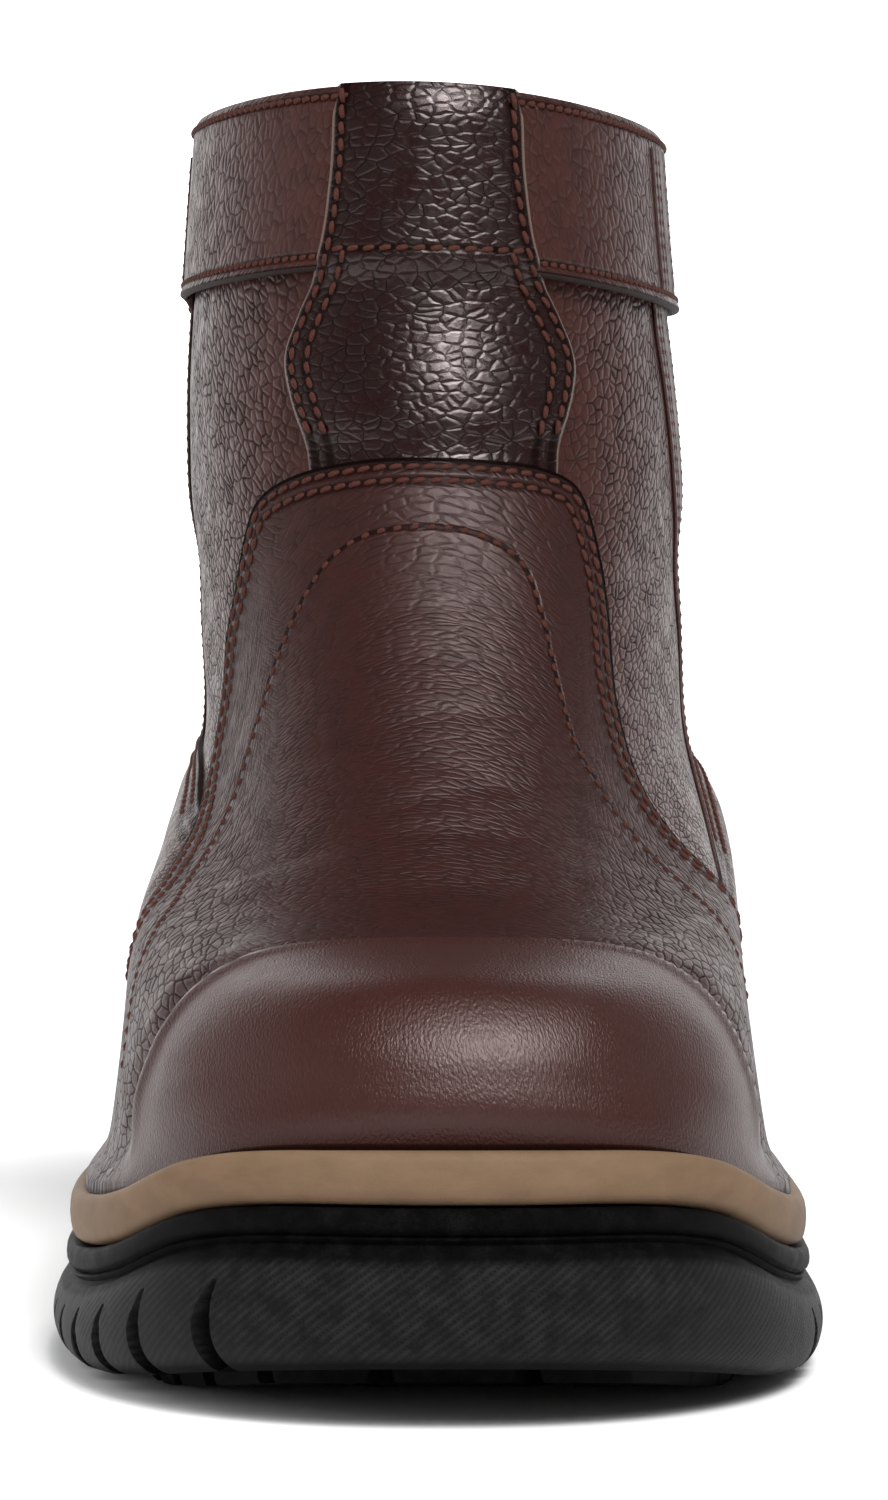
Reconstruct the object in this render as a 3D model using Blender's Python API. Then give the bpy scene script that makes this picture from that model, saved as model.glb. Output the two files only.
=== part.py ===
"""A pull-on safety boot for the right foot, built from the pieces that a maker would put together.

Frame: the origin is on the floor under the middle of the outsole, the toe points to -Y, +Z is up,
and the outer side of the foot is at -X. Sizes and tables are in millimetres, and each point is
turned to metres when its mesh is made. In the tables d is the distance back from the toe tip.
"""

import math

import bpy
import numpy as np

MM = 0.001

# Driving sizes
SOLE_LENGTH = 306.0
WALL = 2.4              # leather and lining of the upper
OVERLAY = 1.6           # leather of vamp, counter, stay and collar band
GAP = 0.3               # between pieces that touch
SEAT_GAP = 0.5          # between the midsole and the edge of the upper
OVERLAY_GAP = 0.45      # between the upper and an overlay
MIDSOLE_HEIGHT = 7.4
INSOLE_HEIGHT = 4.5
INSOLE_CLEAR = 1.5      # between the edge of the insole and the wall
BAND_HEIGHT = 30.0      # collar band, at the front
TREAD_DEPTH = 4.0
GROOVE_DEPTH = 3.2
GROOVE_WIDTH = 4.6
GROOVE_SLOPE = 0.9      # run of a groove's side wall along the sole

# Mesh density
HALF_TURNS = math.pi * np.linspace(0.0, 1.0, 28) ** 1.1   # a half ring from toe to heel
UPPER_LEVELS = np.linspace(0.0, 14.0, 29)

# Sections of the upper, from the feather line on the sole up to the collar. Each is a ring that
# crosses the toe or shin line at front and the heel line at back. ball, waist and heel are half
# widths, front_r and back_r the lengths of the rounded ends, square the exponent of the toe's
# rounding, sag the share of the feather line's wave, swing the share of the foot's curve, dip how
# far the ring drops at both sides and tilt how far it drops more on the inner side.
SECTION_COLUMNS = (
    "front_d", "front_z", "back_d", "back_z", "ball", "waist", "heel",
    "front_r", "back_r", "square", "sag", "swing", "dip", "tilt",
)
SECTIONS = (
    (8.9, 39.0, 299.3, 37.5, 48.4, 43.2, 35.5, 88, 40, 2.45, 1.00, 1.0, 0.0, 0.0),
    (8.2, 44.0, 301.0, 45.0, 47.2, 44.0, 36.5, 88, 40, 2.45, 0.92, 1.0, 0.0, 0.0),
    (10.5, 50.0, 301.5, 54.0, 46.1, 44.7, 37.0, 87, 41, 2.42, 0.80, 1.0, 0.0, 0.0),
    (17.5, 55.3, 300.5, 63.0, 45.4, 45.1, 37.0, 86, 42, 2.38, 0.64, 1.05, 0.0, 0.0),
    (30.0, 59.2, 298.0, 72.0, 45.2, 45.2, 36.8, 86, 43, 2.30, 0.46, 1.15, 0.0, 0.0),
    (46.0, 61.2, 295.0, 81.0, 44.9, 44.7, 36.5, 90, 44, 2.20, 0.28, 1.35, 0.0, 0.0),
    (62.0, 62.2, 292.0, 90.0, 43.6, 43.1, 36.3, 98, 46, 2.10, 0.12, 1.6, 0.0, 0.0),
    (79.0, 66.0, 289.5, 99.0, 42.1, 41.2, 36.3, 110, 48, 2.00, 0.00, 1.8, 0.0, 0.0),
    (96.0, 75.0, 287.5, 108.0, 40.7, 40.1, 36.6, 110, 50, 2.00, 0.00, 1.7, 0.0, 0.0),
    (113.0, 89.0, 286.0, 118.0, 40.6, 40.3, 37.4, 103, 53, 2.00, 0.00, 1.4, 0.0, 0.0),
    (128.5, 106.0, 285.0, 129.0, 41.6, 41.2, 38.8, 92, 57, 2.00, 0.00, 1.1, 0.0, 0.0),
    (141.0, 124.5, 284.3, 141.5, 42.2, 42.0, 40.2, 80, 61, 2.00, 0.00, 0.8, 0.5, 0.0),
    (150.0, 145.0, 284.0, 157.0, 41.4, 41.4, 41.2, 70, 64, 2.00, 0.00, 0.3, 1.2, 0.2),
    (156.0, 169.0, 284.0, 175.0, 39.8, 39.8, 39.8, 65, 63, 2.00, 0.00, 0.0, 2.2, 0.7),
    (160.0, 196.0, 284.0, 196.0, 38.2, 38.2, 38.2, 62, 62, 2.00, 0.00, 0.0, 3.3, 1.3),
)
TOP_LEVEL = len(SECTIONS) - 1
BALL_AT, WAIST_AT, HEEL_AT = 0.30, 0.60, 0.86   # places of the widths along a ring

# Curve of the foot: how far the middle line lies towards the inner side
SWING_D = (0, 40, 95, 150, 200, 260, 306)
SWING_X = (4.6, 3.2, 1.3, 1.5, 1.5, 0.6, 0.0)

# Top line of the midsole: level round the toe, then a step down to the ball and a rise to the heel
MIDSOLE_D = (0, 12, 22, 35, 48, 62, 95, 130, 170, 210, 250, 306)
MIDSOLE_Z = (38.5, 38.5, 37.8, 33.4, 28.4, 26.3, 25.0, 26.0, 29.0, 32.8, 35.5, 37.0)

# Underside: toe spring, flat forefoot, arch, heel breast and flat heel
TREAD_D = (0, 15, 30, 44, 55, 142, 156, 172, 203, 211, 214.5, 216, 294, 306)
TREAD_Z = (7.6, 5.2, 2.6, 0.8, 0.0, 0.0, 4.5, 8.6, 8.8, 8.2, 0.4, 0.0, 0.0, 1.6)

# Side profile of the outsole from the tread's edge up to its top: how far each ring stands out from
# the feather line, and its height as a share between the tread's edge (0) and the rim's groove (1)
BUMPER_COLUMNS = ("out", "share")
BUMPER = ((5.2, 0.0), (7.9, 0.16), (8.9, 0.46), (8.2, 0.78), (7.2, 0.97))
EDGE_LIFT = 1.6          # the tread's edge above the lugs
RIM_COLUMNS = ("out", "below_top")
RIM = ((5.6, 3.8), (6.9, 3.1), (6.9, 0.9), (5.9, 0.0))
MIDSOLE_COLUMNS = ("out", "share")
MIDSOLE_SIDE = ((5.0, 0.0), (6.1, 0.16), (6.4, 0.5), (6.0, 0.84), (4.9, 1.0))
HEEL_TRIM = 0.78         # the sole stands out less round the heel
HEEL_TRIM_D = (0, 190, 262, 306)

# Side grooves and tread channels, as places along the feather line. The sole has a point at each
# wall of a groove and at the plain stations between.
FIRST_GROOVE_D = 24.0
GROOVE_PITCH = 13.2
FORE_GROOVES = 9
HEEL_GROOVE_D = (231.0, 248.0, 265.0)
PLAIN_STATIONS = (10.4, 15, 19.5, 145, 156, 172, 190, 204, 211, 215, 218, 275, 284, 291, 296)
INNER_SMOOTH_D = 52.0    # the toe bumper runs on this far along the inner side
CHANNEL_FROM_D = 48.0    # channels cross the tread from here back
LUG_EDGES = (0.30, 0.40, 0.84)   # half of the tread: centre lug, channel, outer lug, edge strip

# Overlays on the upper. Turn is the angle round a ring, 0 at the front and 180 at the back.
VAMP_EDGE_COLUMNS = ("turn", "level")
VAMP_EDGE = (
    (0.0, 11.62), (24.0, 11.5), (40.0, 11.15), (52.0, 10.55), (61.0, 9.5),
    (66.0, 8.3), (69.5, 6.9), (74.0, 5.2), (80.0, 3.0), (84.0, 0.0),
)
COUNTER_TOP_COLUMNS = ("turn", "z")
COUNTER_TOP = ((85.0, 69.0), (97.0, 82.5), (116.0, 91.0), (146.0, 95.5), (180.0, 97.0))
COUNTER_CORNER = 4.4     # level at which the counter's top edge leaves the vamp
COUNTER_FRONT_GAP = 1.2  # degrees between vamp wing and counter
STAY_COLUMNS = ("z", "half_width")
STAY = (
    (139.0, 20.6), (144.0, 21.7), (151.0, 22.6), (158.0, 20.6), (166.0, 17.2), (180.0, 14.8), (196.0, 14.2),
)
STAY_SEAM = 0.5          # gap in millimetres between stay and collar band

COLOURS = {
    "outsole": ((0.018, 0.018, 0.019), 0.75),
    "midsole": ((0.245, 0.162, 0.100), 0.65),
    "insole": ((0.030, 0.026, 0.024), 0.90),
    "upper": ((0.088, 0.046, 0.040), 0.48),
    "vamp": ((0.080, 0.036, 0.031), 0.42),
    "heel_counter": ((0.092, 0.050, 0.044), 0.50),
    "front_stay": ((0.050, 0.024, 0.022), 0.40),
    "collar_band": ((0.085, 0.045, 0.040), 0.50),
}


def clear_scene():
    for obj in list(bpy.data.objects):
        bpy.data.objects.remove(obj)


def smooth(places, values):
    """A smooth curve through a table's values, flat beyond its ends."""
    places, values = np.asarray(places, float), np.asarray(values, float)
    slopes = np.gradient(values, places)

    def curve(at):
        at = np.clip(at, places[0], places[-1])
        i = np.clip(np.searchsorted(places, at) - 1, 0, len(places) - 2)
        run = places[i + 1] - places[i]
        t = (at - places[i]) / run
        start = (1 + 2 * t) * (1 - t) ** 2 * values[i] + t * t * (3 - 2 * t) * values[i + 1]
        return start + run * (t * (1 - t) ** 2 * slopes[i] - t * t * (1 - t) * slopes[i + 1])

    return curve


def column(table, names, name):
    return [row[names.index(name)] for row in table]


SECTION = {n: smooth(range(len(SECTIONS)), column(SECTIONS, SECTION_COLUMNS, n)) for n in SECTION_COLUMNS}
swing_at = smooth(SWING_D, SWING_X)
midsole_top = smooth(MIDSOLE_D, MIDSOLE_Z)


def tread(d):
    return np.interp(d, TREAD_D, TREAD_Z)


def ease(t):
    t = np.clip(t, 0.0, 1.0)
    return t * t * (3 - 2 * t)


def rounded_end(along, length, square):
    """Share of the full width at a distance along a rounded end."""
    left = np.clip(1 - along / length, 0.0, 1.0)
    return (1 - left**square) ** (1 / square)


def ring_point(turn, level):
    """Point of the upper's outer face, in millimetres: turn in radians round the ring, 0 at the front."""
    turn, level = np.broadcast_arrays(np.asarray(turn, float), np.asarray(level, float))
    at = {name: curve(level) for name, curve in SECTION.items()}
    share = (1 - np.cos(turn)) / 2
    length = at["back_d"] - at["front_d"]
    d = at["front_d"] + share * length
    width = at["ball"] + (at["waist"] - at["ball"]) * ease((share - BALL_AT) / (WAIST_AT - BALL_AT))
    width = width + (at["heel"] - at["waist"]) * ease((share - WAIST_AT) / (HEEL_AT - WAIST_AT))
    width = width * rounded_end(share * length, at["front_r"], at["square"])
    width = width * rounded_end((1 - share) * length, at["back_r"], 2.0)
    x = at["swing"] * swing_at(d) + np.sign(np.sin(turn)) * width
    z = at["front_z"] + (at["back_z"] - at["front_z"]) * share
    z = z + at["sag"] * feather_wave(share) - at["dip"] * np.sin(turn) ** 2 - at["tilt"] * np.sin(turn)
    return np.stack([x, d, z], axis=-1)


def feather_wave(share):
    """How far the midsole's top line lies from a straight line between toe and heel."""
    first, last = SECTIONS[0][0], SECTIONS[0][2]
    straight = midsole_top(first) + (midsole_top(last) - midsole_top(first)) * share
    return midsole_top(first + (last - first) * share) - straight


def upper_point(turn, level, out=0.0):
    """Point that stands out from the upper's outer face by a distance along its normal."""
    step = 1e-3
    turn, level = np.broadcast_arrays(np.asarray(turn, float), np.asarray(level, float))
    along = ring_point(turn + step, level) - ring_point(turn - step, level)
    high, low = np.minimum(level + step, TOP_LEVEL), np.maximum(level - step, 0.0)
    up = ring_point(turn, high) - ring_point(turn, low)
    normal = np.cross(along, up)
    normal = normal / np.linalg.norm(normal, axis=-1, keepdims=True)
    return ring_point(turn, level) + np.asarray(out)[..., None] * normal


def outline_point(turn, out):
    """Plan point, x and d, that stands out from the feather line by a distance."""
    step = 1e-3
    here = ring_point(turn, 0.0)[..., :2]
    along = ring_point(turn + step, 0.0)[..., :2] - ring_point(turn - step, 0.0)[..., :2]
    normal = np.stack([along[..., 1], -along[..., 0]], axis=-1)
    normal = normal / np.linalg.norm(normal, axis=-1, keepdims=True)
    trim = smooth(HEEL_TRIM_D, (1, 1, HEEL_TRIM, HEEL_TRIM))(here[..., 1])
    return here + (np.asarray(out) * trim)[..., None] * normal


def feather_turn(d):
    """Turn at which the feather line is a distance back from the toe tip."""
    first, last = SECTIONS[0][0], SECTIONS[0][2]
    return math.acos(1 - 2 * (d - first) / (last - first))


def level_at(turn, z):
    """Level at which the upper has a height, on the line of one turn."""
    levels = np.linspace(0.0, TOP_LEVEL, 400)
    return np.interp(z, ring_point(turn, levels)[:, 2], levels)


def turn_at(level, half_width):
    """Turn at which the upper has a half width in front, on one ring."""
    turns = np.linspace(0.0, math.pi / 2, 400)
    return np.interp(half_width, ring_point(turns, level)[:, 0], turns)


def sole_middle():
    """X of the middle of the outsole, where the frame's origin lies."""
    turns = np.linspace(0.0, 2 * math.pi, 720)
    x = outline_point(turns, max(column(BUMPER, BUMPER_COLUMNS, "out")))[:, 0]
    return (x.max() + x.min()) / 2


MIDDLE_X = sole_middle()


def placed(points):
    """Table points, x and d and z in millimetres, as metres in the boot's frame."""
    points = np.asarray(points, float)
    return (points - (MIDDLE_X, SOLE_LENGTH / 2, 0.0)) * MM


def material_for(name):
    colour, roughness = COLOURS[name]
    made = bpy.data.materials.new(name)
    made.use_nodes = True
    shader = made.node_tree.nodes["Principled BSDF"]
    shader.inputs["Base Color"].default_value = (*colour, 1.0)
    shader.inputs["Roughness"].default_value = roughness
    return made


def add_object(name, points, faces):
    mesh = bpy.data.meshes.new(name)
    mesh.from_pydata([tuple(p) for p in placed(points)], [], faces)
    mesh.materials.append(material_for(name))
    mesh.shade_smooth()
    mesh.set_sharp_from_angle(angle=math.radians(35))
    obj = bpy.data.objects.new(name, mesh)
    bpy.context.scene.collection.objects.link(obj)
    return obj


def quads(first, second):
    """Faces between two closed rings of the same number of points."""
    n = len(first)
    return [(first[i], first[(i + 1) % n], second[(i + 1) % n], second[i]) for i in range(n)]


def rungs(ring, flip):
    """Faces that close a ring with rungs from one side to the other."""
    n = len(ring)
    faces = [(ring[0], ring[1], ring[n - 1])]
    for i in range(1, n // 2 - 1):
        faces.append((ring[i], ring[i + 1], ring[n - i - 1], ring[n - i]))
    faces.append((ring[n // 2 - 1], ring[n // 2], ring[n // 2 + 1]))
    return [face[::-1] for face in faces] if flip else faces


def numbered(rings):
    """Point numbers of rings that are stored one after another."""
    starts = np.cumsum([0] + [len(r) for r in rings[:-1]])
    return [list(range(s, s + len(r))) for s, r in zip(starts, rings)]


def whole_turn(half):
    """Turns of a whole ring: the inner side from toe to heel, then the outer side back."""
    return np.concatenate([half, 2 * math.pi - half[-2:0:-1]])


def make_upper():
    """Lasted upper and shaft in one hollow wall, open at the collar and on the sole."""
    turns = whole_turn(HALF_TURNS)
    outside = [upper_point(turns, level) for level in UPPER_LEVELS]
    inside = [upper_point(turns, level, -WALL) for level in UPPER_LEVELS[::-2]]
    inside[-1][:, 2] = midsole_top(inside[-1][:, 1]) + SEAT_GAP
    inside[0][:, 2] = outside[-1][:, 2]
    rings = outside + inside
    numbers = numbered(rings)
    faces = []
    for first, second in zip(numbers, numbers[1:] + numbers[:1]):
        faces += quads(first, second)
    return add_object("upper", np.concatenate(rings), faces)


def make_overlay(name, low, high, across, up, bend=np.zeros_like, crowd=1.0):
    """Leather panel on the upper between two edges. Each edge gives turn and level for shares 0 to 1,
    bend the turn by which the panel's ends leave a straight line between the edges, and crowd draws
    the mesh rows towards the low edge."""
    u, v = np.meshgrid(np.linspace(0, 1, across + 1), np.linspace(0, 1, up + 1) ** crowd)
    turn_low, level_low = low(u)
    turn_high, level_high = high(u)
    turn = turn_low + (turn_high - turn_low) * v + bend(v) * (1 - 2 * u)
    level = level_low + (level_high - level_low) * v
    wide = across + 1
    outer = upper_point(turn, level, OVERLAY_GAP + OVERLAY).reshape(-1, 3)
    inner = upper_point(turn, level, OVERLAY_GAP).reshape(-1, 3)
    if np.all(level_low == 0):
        for face in (outer, inner):
            face[:wide, 2] = midsole_top(face[:wide, 1]) + SEAT_GAP + GAP
    count = len(outer)
    faces = []
    for r in range(up):
        for c in range(across):
            i = r * wide + c
            faces.append((i, i + 1, i + wide + 1, i + wide))
            faces.append((i + wide + count, i + wide + 1 + count, i + 1 + count, i + count))
    bottom = list(range(wide))
    right = [r * wide + across for r in range(up + 1)]
    top = [up * wide + c for c in range(across, -1, -1)]
    left = [r * wide for r in range(up, -1, -1)]
    border = bottom[:-1] + right[:-1] + top[:-1] + left[:-1]
    for a, b in zip(border, border[1:] + border[:1]):
        faces.append((b, a, a + count, b + count))
    return add_object(name, np.concatenate([outer, inner]), faces)


def vamp_edge(share):
    """Turn and level along the vamp's top edge, from the outer wing over the instep to the inner wing."""
    count = len(VAMP_EDGE) - 1
    place = np.abs(2 * share - 1) * count
    turn = smooth(range(count + 1), column(VAMP_EDGE, VAMP_EDGE_COLUMNS, "turn"))(place)
    level = smooth(range(count + 1), column(VAMP_EDGE, VAMP_EDGE_COLUMNS, "level"))(place)
    return np.radians(turn) * np.sign(2 * share - 1), level


def feather_edge(turn_from, turn_to):
    return lambda share: (turn_from + (turn_to - turn_from) * share, np.zeros_like(share))


def make_vamp():
    wing = math.radians(VAMP_EDGE[-1][0])
    return make_overlay("vamp", feather_edge(-wing, wing), vamp_edge, 38, 18, crowd=1.2)


def wing(level):
    """Turn of the counter's front end beside the vamp's wing."""
    levels = column(VAMP_EDGE, VAMP_EDGE_COLUMNS, "level")[::-1]
    turns = column(VAMP_EDGE, VAMP_EDGE_COLUMNS, "turn")[::-1]
    return np.radians(np.interp(level, levels, turns) + COUNTER_FRONT_GAP)


def wing_bend(share):
    """How far the wing's line leaves a straight line between sole and counter corner."""
    return wing(share * COUNTER_CORNER) - wing(0) - (wing(COUNTER_CORNER) - wing(0)) * share


def counter_edge(share):
    """Turn and level along the counter's top edge, from the inner wing round the heel to the outer wing."""
    corner = wing(COUNTER_CORNER)
    turns = [corner] + list(np.radians(column(COUNTER_TOP, COUNTER_TOP_COLUMNS, "turn")))
    heights = [ring_point(corner, COUNTER_CORNER)[2]] + column(COUNTER_TOP, COUNTER_TOP_COLUMNS, "z")
    turn = corner + (2 * math.pi - 2 * corner) * share
    z = smooth(turns, heights)(np.minimum(turn, 2 * math.pi - turn))
    levels = [level_at(t, h) for t, h in zip(turn.ravel(), z.ravel())]
    return turn, np.reshape(levels, turn.shape)


def make_counter():
    low = feather_edge(wing(0), 2 * math.pi - wing(0))
    return make_overlay("heel_counter", low, counter_edge, 40, 8, wing_bend)


def stay_side(side, extra=0.0):
    """Turn and level along one side of the front stay, from the vamp up to the collar."""
    heights, widths = (column(STAY, STAY_COLUMNS, n) for n in STAY_COLUMNS)
    wide = smooth(heights, widths)

    def edge(share):
        z = heights[0] + (heights[-1] - heights[0]) * share
        levels = [level_at(0.0, h) for h in z.ravel()]
        turns = [turn_at(l, w + extra) for l, w in zip(levels, wide(z).ravel())]
        return side * np.reshape(turns, share.shape), np.reshape(levels, share.shape)

    return edge


def make_stay():
    return make_overlay("front_stay", stay_side(1), stay_side(-1), 12, 10)


def make_collar_band():
    """Band round the collar, from one side of the front stay to the other."""
    heights = column(STAY, STAY_COLUMNS, "z")
    low_z = heights[-1] - BAND_HEIGHT
    share_low = (low_z - heights[0]) / (heights[-1] - heights[0])
    side = stay_side(1, STAY_SEAM)

    def edge(share_up):
        def line(share):
            start, level = side(np.asarray(share_up))
            return start + (2 * math.pi - 2 * start) * share, np.full_like(share, float(level))
        return line

    return make_overlay("collar_band", edge(share_low), edge(1.0), 36, 2)


def sole_turns():
    """Turns from toe to heel at which the sole's rings have a point: the groove walls and places between."""
    cuts = [FIRST_GROOVE_D + GROOVE_PITCH * i for i in range(FORE_GROOVES)] + list(HEEL_GROOVE_D)
    half = GROOVE_WIDTH / 2
    stations = list(PLAIN_STATIONS)
    for cut in cuts:
        stations += [cut - half, cut - half + GROOVE_SLOPE, cut + half - GROOVE_SLOPE, cut + half]
    return np.array([0.0] + [feather_turn(d) for d in sorted(stations)] + [math.pi])


def in_groove(turns, inner_side):
    """1 where a ring's point lies on the floor of a side groove."""
    first, last = SECTIONS[0][0], SECTIONS[0][2]
    d = first + (last - first) * (1 - np.cos(turns)) / 2
    cuts = np.array([FIRST_GROOVE_D + GROOVE_PITCH * i for i in range(FORE_GROOVES)] + list(HEEL_GROOVE_D))
    near = np.abs(d[:, None] - cuts[None, :]).min(axis=1) < GROOVE_WIDTH / 2 - GROOVE_SLOPE / 2
    smooth_toe = inner_side & (d < INNER_SMOOTH_D)
    return np.where(near & ~smooth_toe, 1.0, 0.0)


def sole_ring(turns, out, height):
    """Closed ring of the sole. height gives z for a distance back from the toe tip."""
    plan = outline_point(turns, out)
    return np.column_stack([plan, height(plan[:, 1])])


def outsole_top(d):
    return midsole_top(d) - MIDSOLE_HEIGHT - GAP


def make_outsole():
    """Moulded rubber sole: tread with lugs, bumper with side grooves, and a rim under the midsole."""
    half = sole_turns()
    turns = whole_turn(half)
    inner_side = np.sin(turns) > 0
    groove = in_groove(np.where(inner_side, turns, 2 * math.pi - turns), inner_side)
    groove_below = max(column(RIM, RIM_COLUMNS, "below_top"))
    rings = []
    for out, share in BUMPER:
        cut = groove * GROOVE_DEPTH * ease((0.86 - share) / 0.3)

        def height(d, share=share):
            low = tread(d) + EDGE_LIFT
            return low + (outsole_top(d) - groove_below - low) * share

        rings.append(sole_ring(turns, out - cut, height))
    for out, below in RIM:
        rings.append(sole_ring(turns, np.full_like(turns, out), lambda d, b=below: outsole_top(d) - b))
    numbers = numbered(rings)
    faces = []
    for first, second in zip(numbers, numbers[1:]):
        faces += quads(first, second)
    faces += rungs(numbers[-1], flip=False)
    points = np.concatenate(rings)
    return add_object("outsole", *add_tread(points, faces, numbers[0], half))


def add_tread(points, faces, edge, half):
    """Closes the underside with rows of lugs. Each row runs from the outer edge to the inner edge."""
    slope = 0.02
    centre, channel_edge, lug_edge = LUG_EDGES
    inner = [lug_edge, lug_edge - slope, channel_edge + slope, channel_edge, centre, centre - slope]
    lug = [0, 1, 1, 0, 0, 1]
    across = [-s for s in inner] + inner[::-1]
    is_lug = np.array(lug + lug[::-1], float)
    n = len(edge)
    channel = in_groove(half, np.zeros(len(half), bool))
    points, rows = list(points), []
    for i in range(1, n // 2):
        inside, outside = np.array(points[edge[i]]), np.array(points[edge[n - i]])
        d = (inside[1] + outside[1]) / 2
        raised = 1.0 - is_lug * (1.0 - channel[i] * (d > CHANNEL_FROM_D))
        row = [edge[n - i]]
        for share, up in zip(across, raised):
            p = outside + (inside - outside) * (share + 1) / 2
            p[2] = tread(p[1]) + up * min(TREAD_DEPTH, EDGE_LIFT + 2.0)
            row.append(len(points))
            points.append(p)
        rows.append(row + [edge[i]])
    faces = list(faces)
    for first, second in zip(rows, rows[1:]):
        for a, b, c, d in zip(first, first[1:], second[1:], second):
            faces.append((a, d, c, b))
    toe, heel = edge[0], edge[n // 2]
    faces += [(toe, a, b) for a, b in zip(rows[0], rows[0][1:])]
    faces += [(heel, b, a) for a, b in zip(rows[-1], rows[-1][1:])]
    return np.array(points), faces


def make_midsole():
    """Moulded band between upper and outsole, with a rounded side."""
    turns = whole_turn(HALF_TURNS)
    rings = []
    for out, share in (*MIDSOLE_SIDE, (-WALL - INSOLE_CLEAR, 1.0)):
        below = MIDSOLE_HEIGHT * (1 - share)
        rings.append(sole_ring(turns, np.full_like(turns, out), lambda d, b=below: midsole_top(d) - b))
    numbers = numbered(rings)
    faces = rungs(numbers[0], flip=True) + rungs(numbers[-1], flip=False)
    for first, second in zip(numbers, numbers[1:]):
        faces += quads(first, second)
    return add_object("midsole", np.concatenate(rings), faces)


def make_insole():
    """Footbed that lies on the midsole inside the upper."""
    turns = whole_turn(HALF_TURNS)
    rings = []
    for more, up in ((0.0, GAP), (0.7, INSOLE_HEIGHT - 1.0), (2.1, INSOLE_HEIGHT)):
        inset = np.full_like(turns, -WALL - INSOLE_CLEAR - more)
        rings.append(sole_ring(turns, inset, lambda d, u=up: midsole_top(d) + u))
    numbers = numbered(rings)
    faces = rungs(numbers[0], flip=True) + rungs(numbers[-1], flip=False)
    for first, second in zip(numbers, numbers[1:]):
        faces += quads(first, second)
    return add_object("insole", np.concatenate(rings), faces)


clear_scene()
make_outsole()
make_midsole()
make_insole()
make_upper()
make_vamp()
make_counter()
make_stay()
make_collar_band()
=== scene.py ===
"""Looks of a pull-on safety boot for the right foot, standing on a pale studio floor.

The sections follow the boot as it is put together: leather upper, overlays, threads, insole, sole, studio.
Sizes are in millimetres, d is the distance back from the toe tip, and the outer side of the foot is at -X.
"""

import functools
import math

import bpy
import numpy as np
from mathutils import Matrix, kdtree


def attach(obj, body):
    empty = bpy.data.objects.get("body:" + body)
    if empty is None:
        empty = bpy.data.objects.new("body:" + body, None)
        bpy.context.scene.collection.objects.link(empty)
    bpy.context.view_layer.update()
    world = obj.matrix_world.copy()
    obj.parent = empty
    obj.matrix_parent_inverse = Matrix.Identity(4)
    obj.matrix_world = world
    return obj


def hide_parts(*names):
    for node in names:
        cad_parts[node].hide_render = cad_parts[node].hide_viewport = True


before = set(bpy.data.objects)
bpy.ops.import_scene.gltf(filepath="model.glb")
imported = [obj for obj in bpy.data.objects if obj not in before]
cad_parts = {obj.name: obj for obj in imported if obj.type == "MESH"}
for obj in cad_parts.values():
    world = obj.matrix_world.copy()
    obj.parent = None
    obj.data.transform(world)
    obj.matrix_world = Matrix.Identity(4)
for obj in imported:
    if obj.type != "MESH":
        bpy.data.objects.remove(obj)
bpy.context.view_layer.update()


# Upper wall: one hollow form of pebbled cowhide with a cloth lining, from the feather line on the
# midsole up to the collar. It is pulled over a last, glued down below, and left open at the top.
MM = 0.001
SOLE_LENGTH = 306.0
SOLE_OUT = 8.9                                          # from the feather line to the sole's widest line
SOLE_TRIM = ((0, 190, 262, 306), (1, 1, 0.78, 0.78))    # share of it that is left along the sole
WALL = 2.4
COLLAR_ROUND = 0.7
WALL_GRID = (220, 130)
SECTION_COLUMNS = (
    "front_d", "front_z", "back_d", "back_z", "ball", "waist", "heel",
    "front_r", "back_r", "square", "sag", "swing", "dip", "tilt",
)
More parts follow.
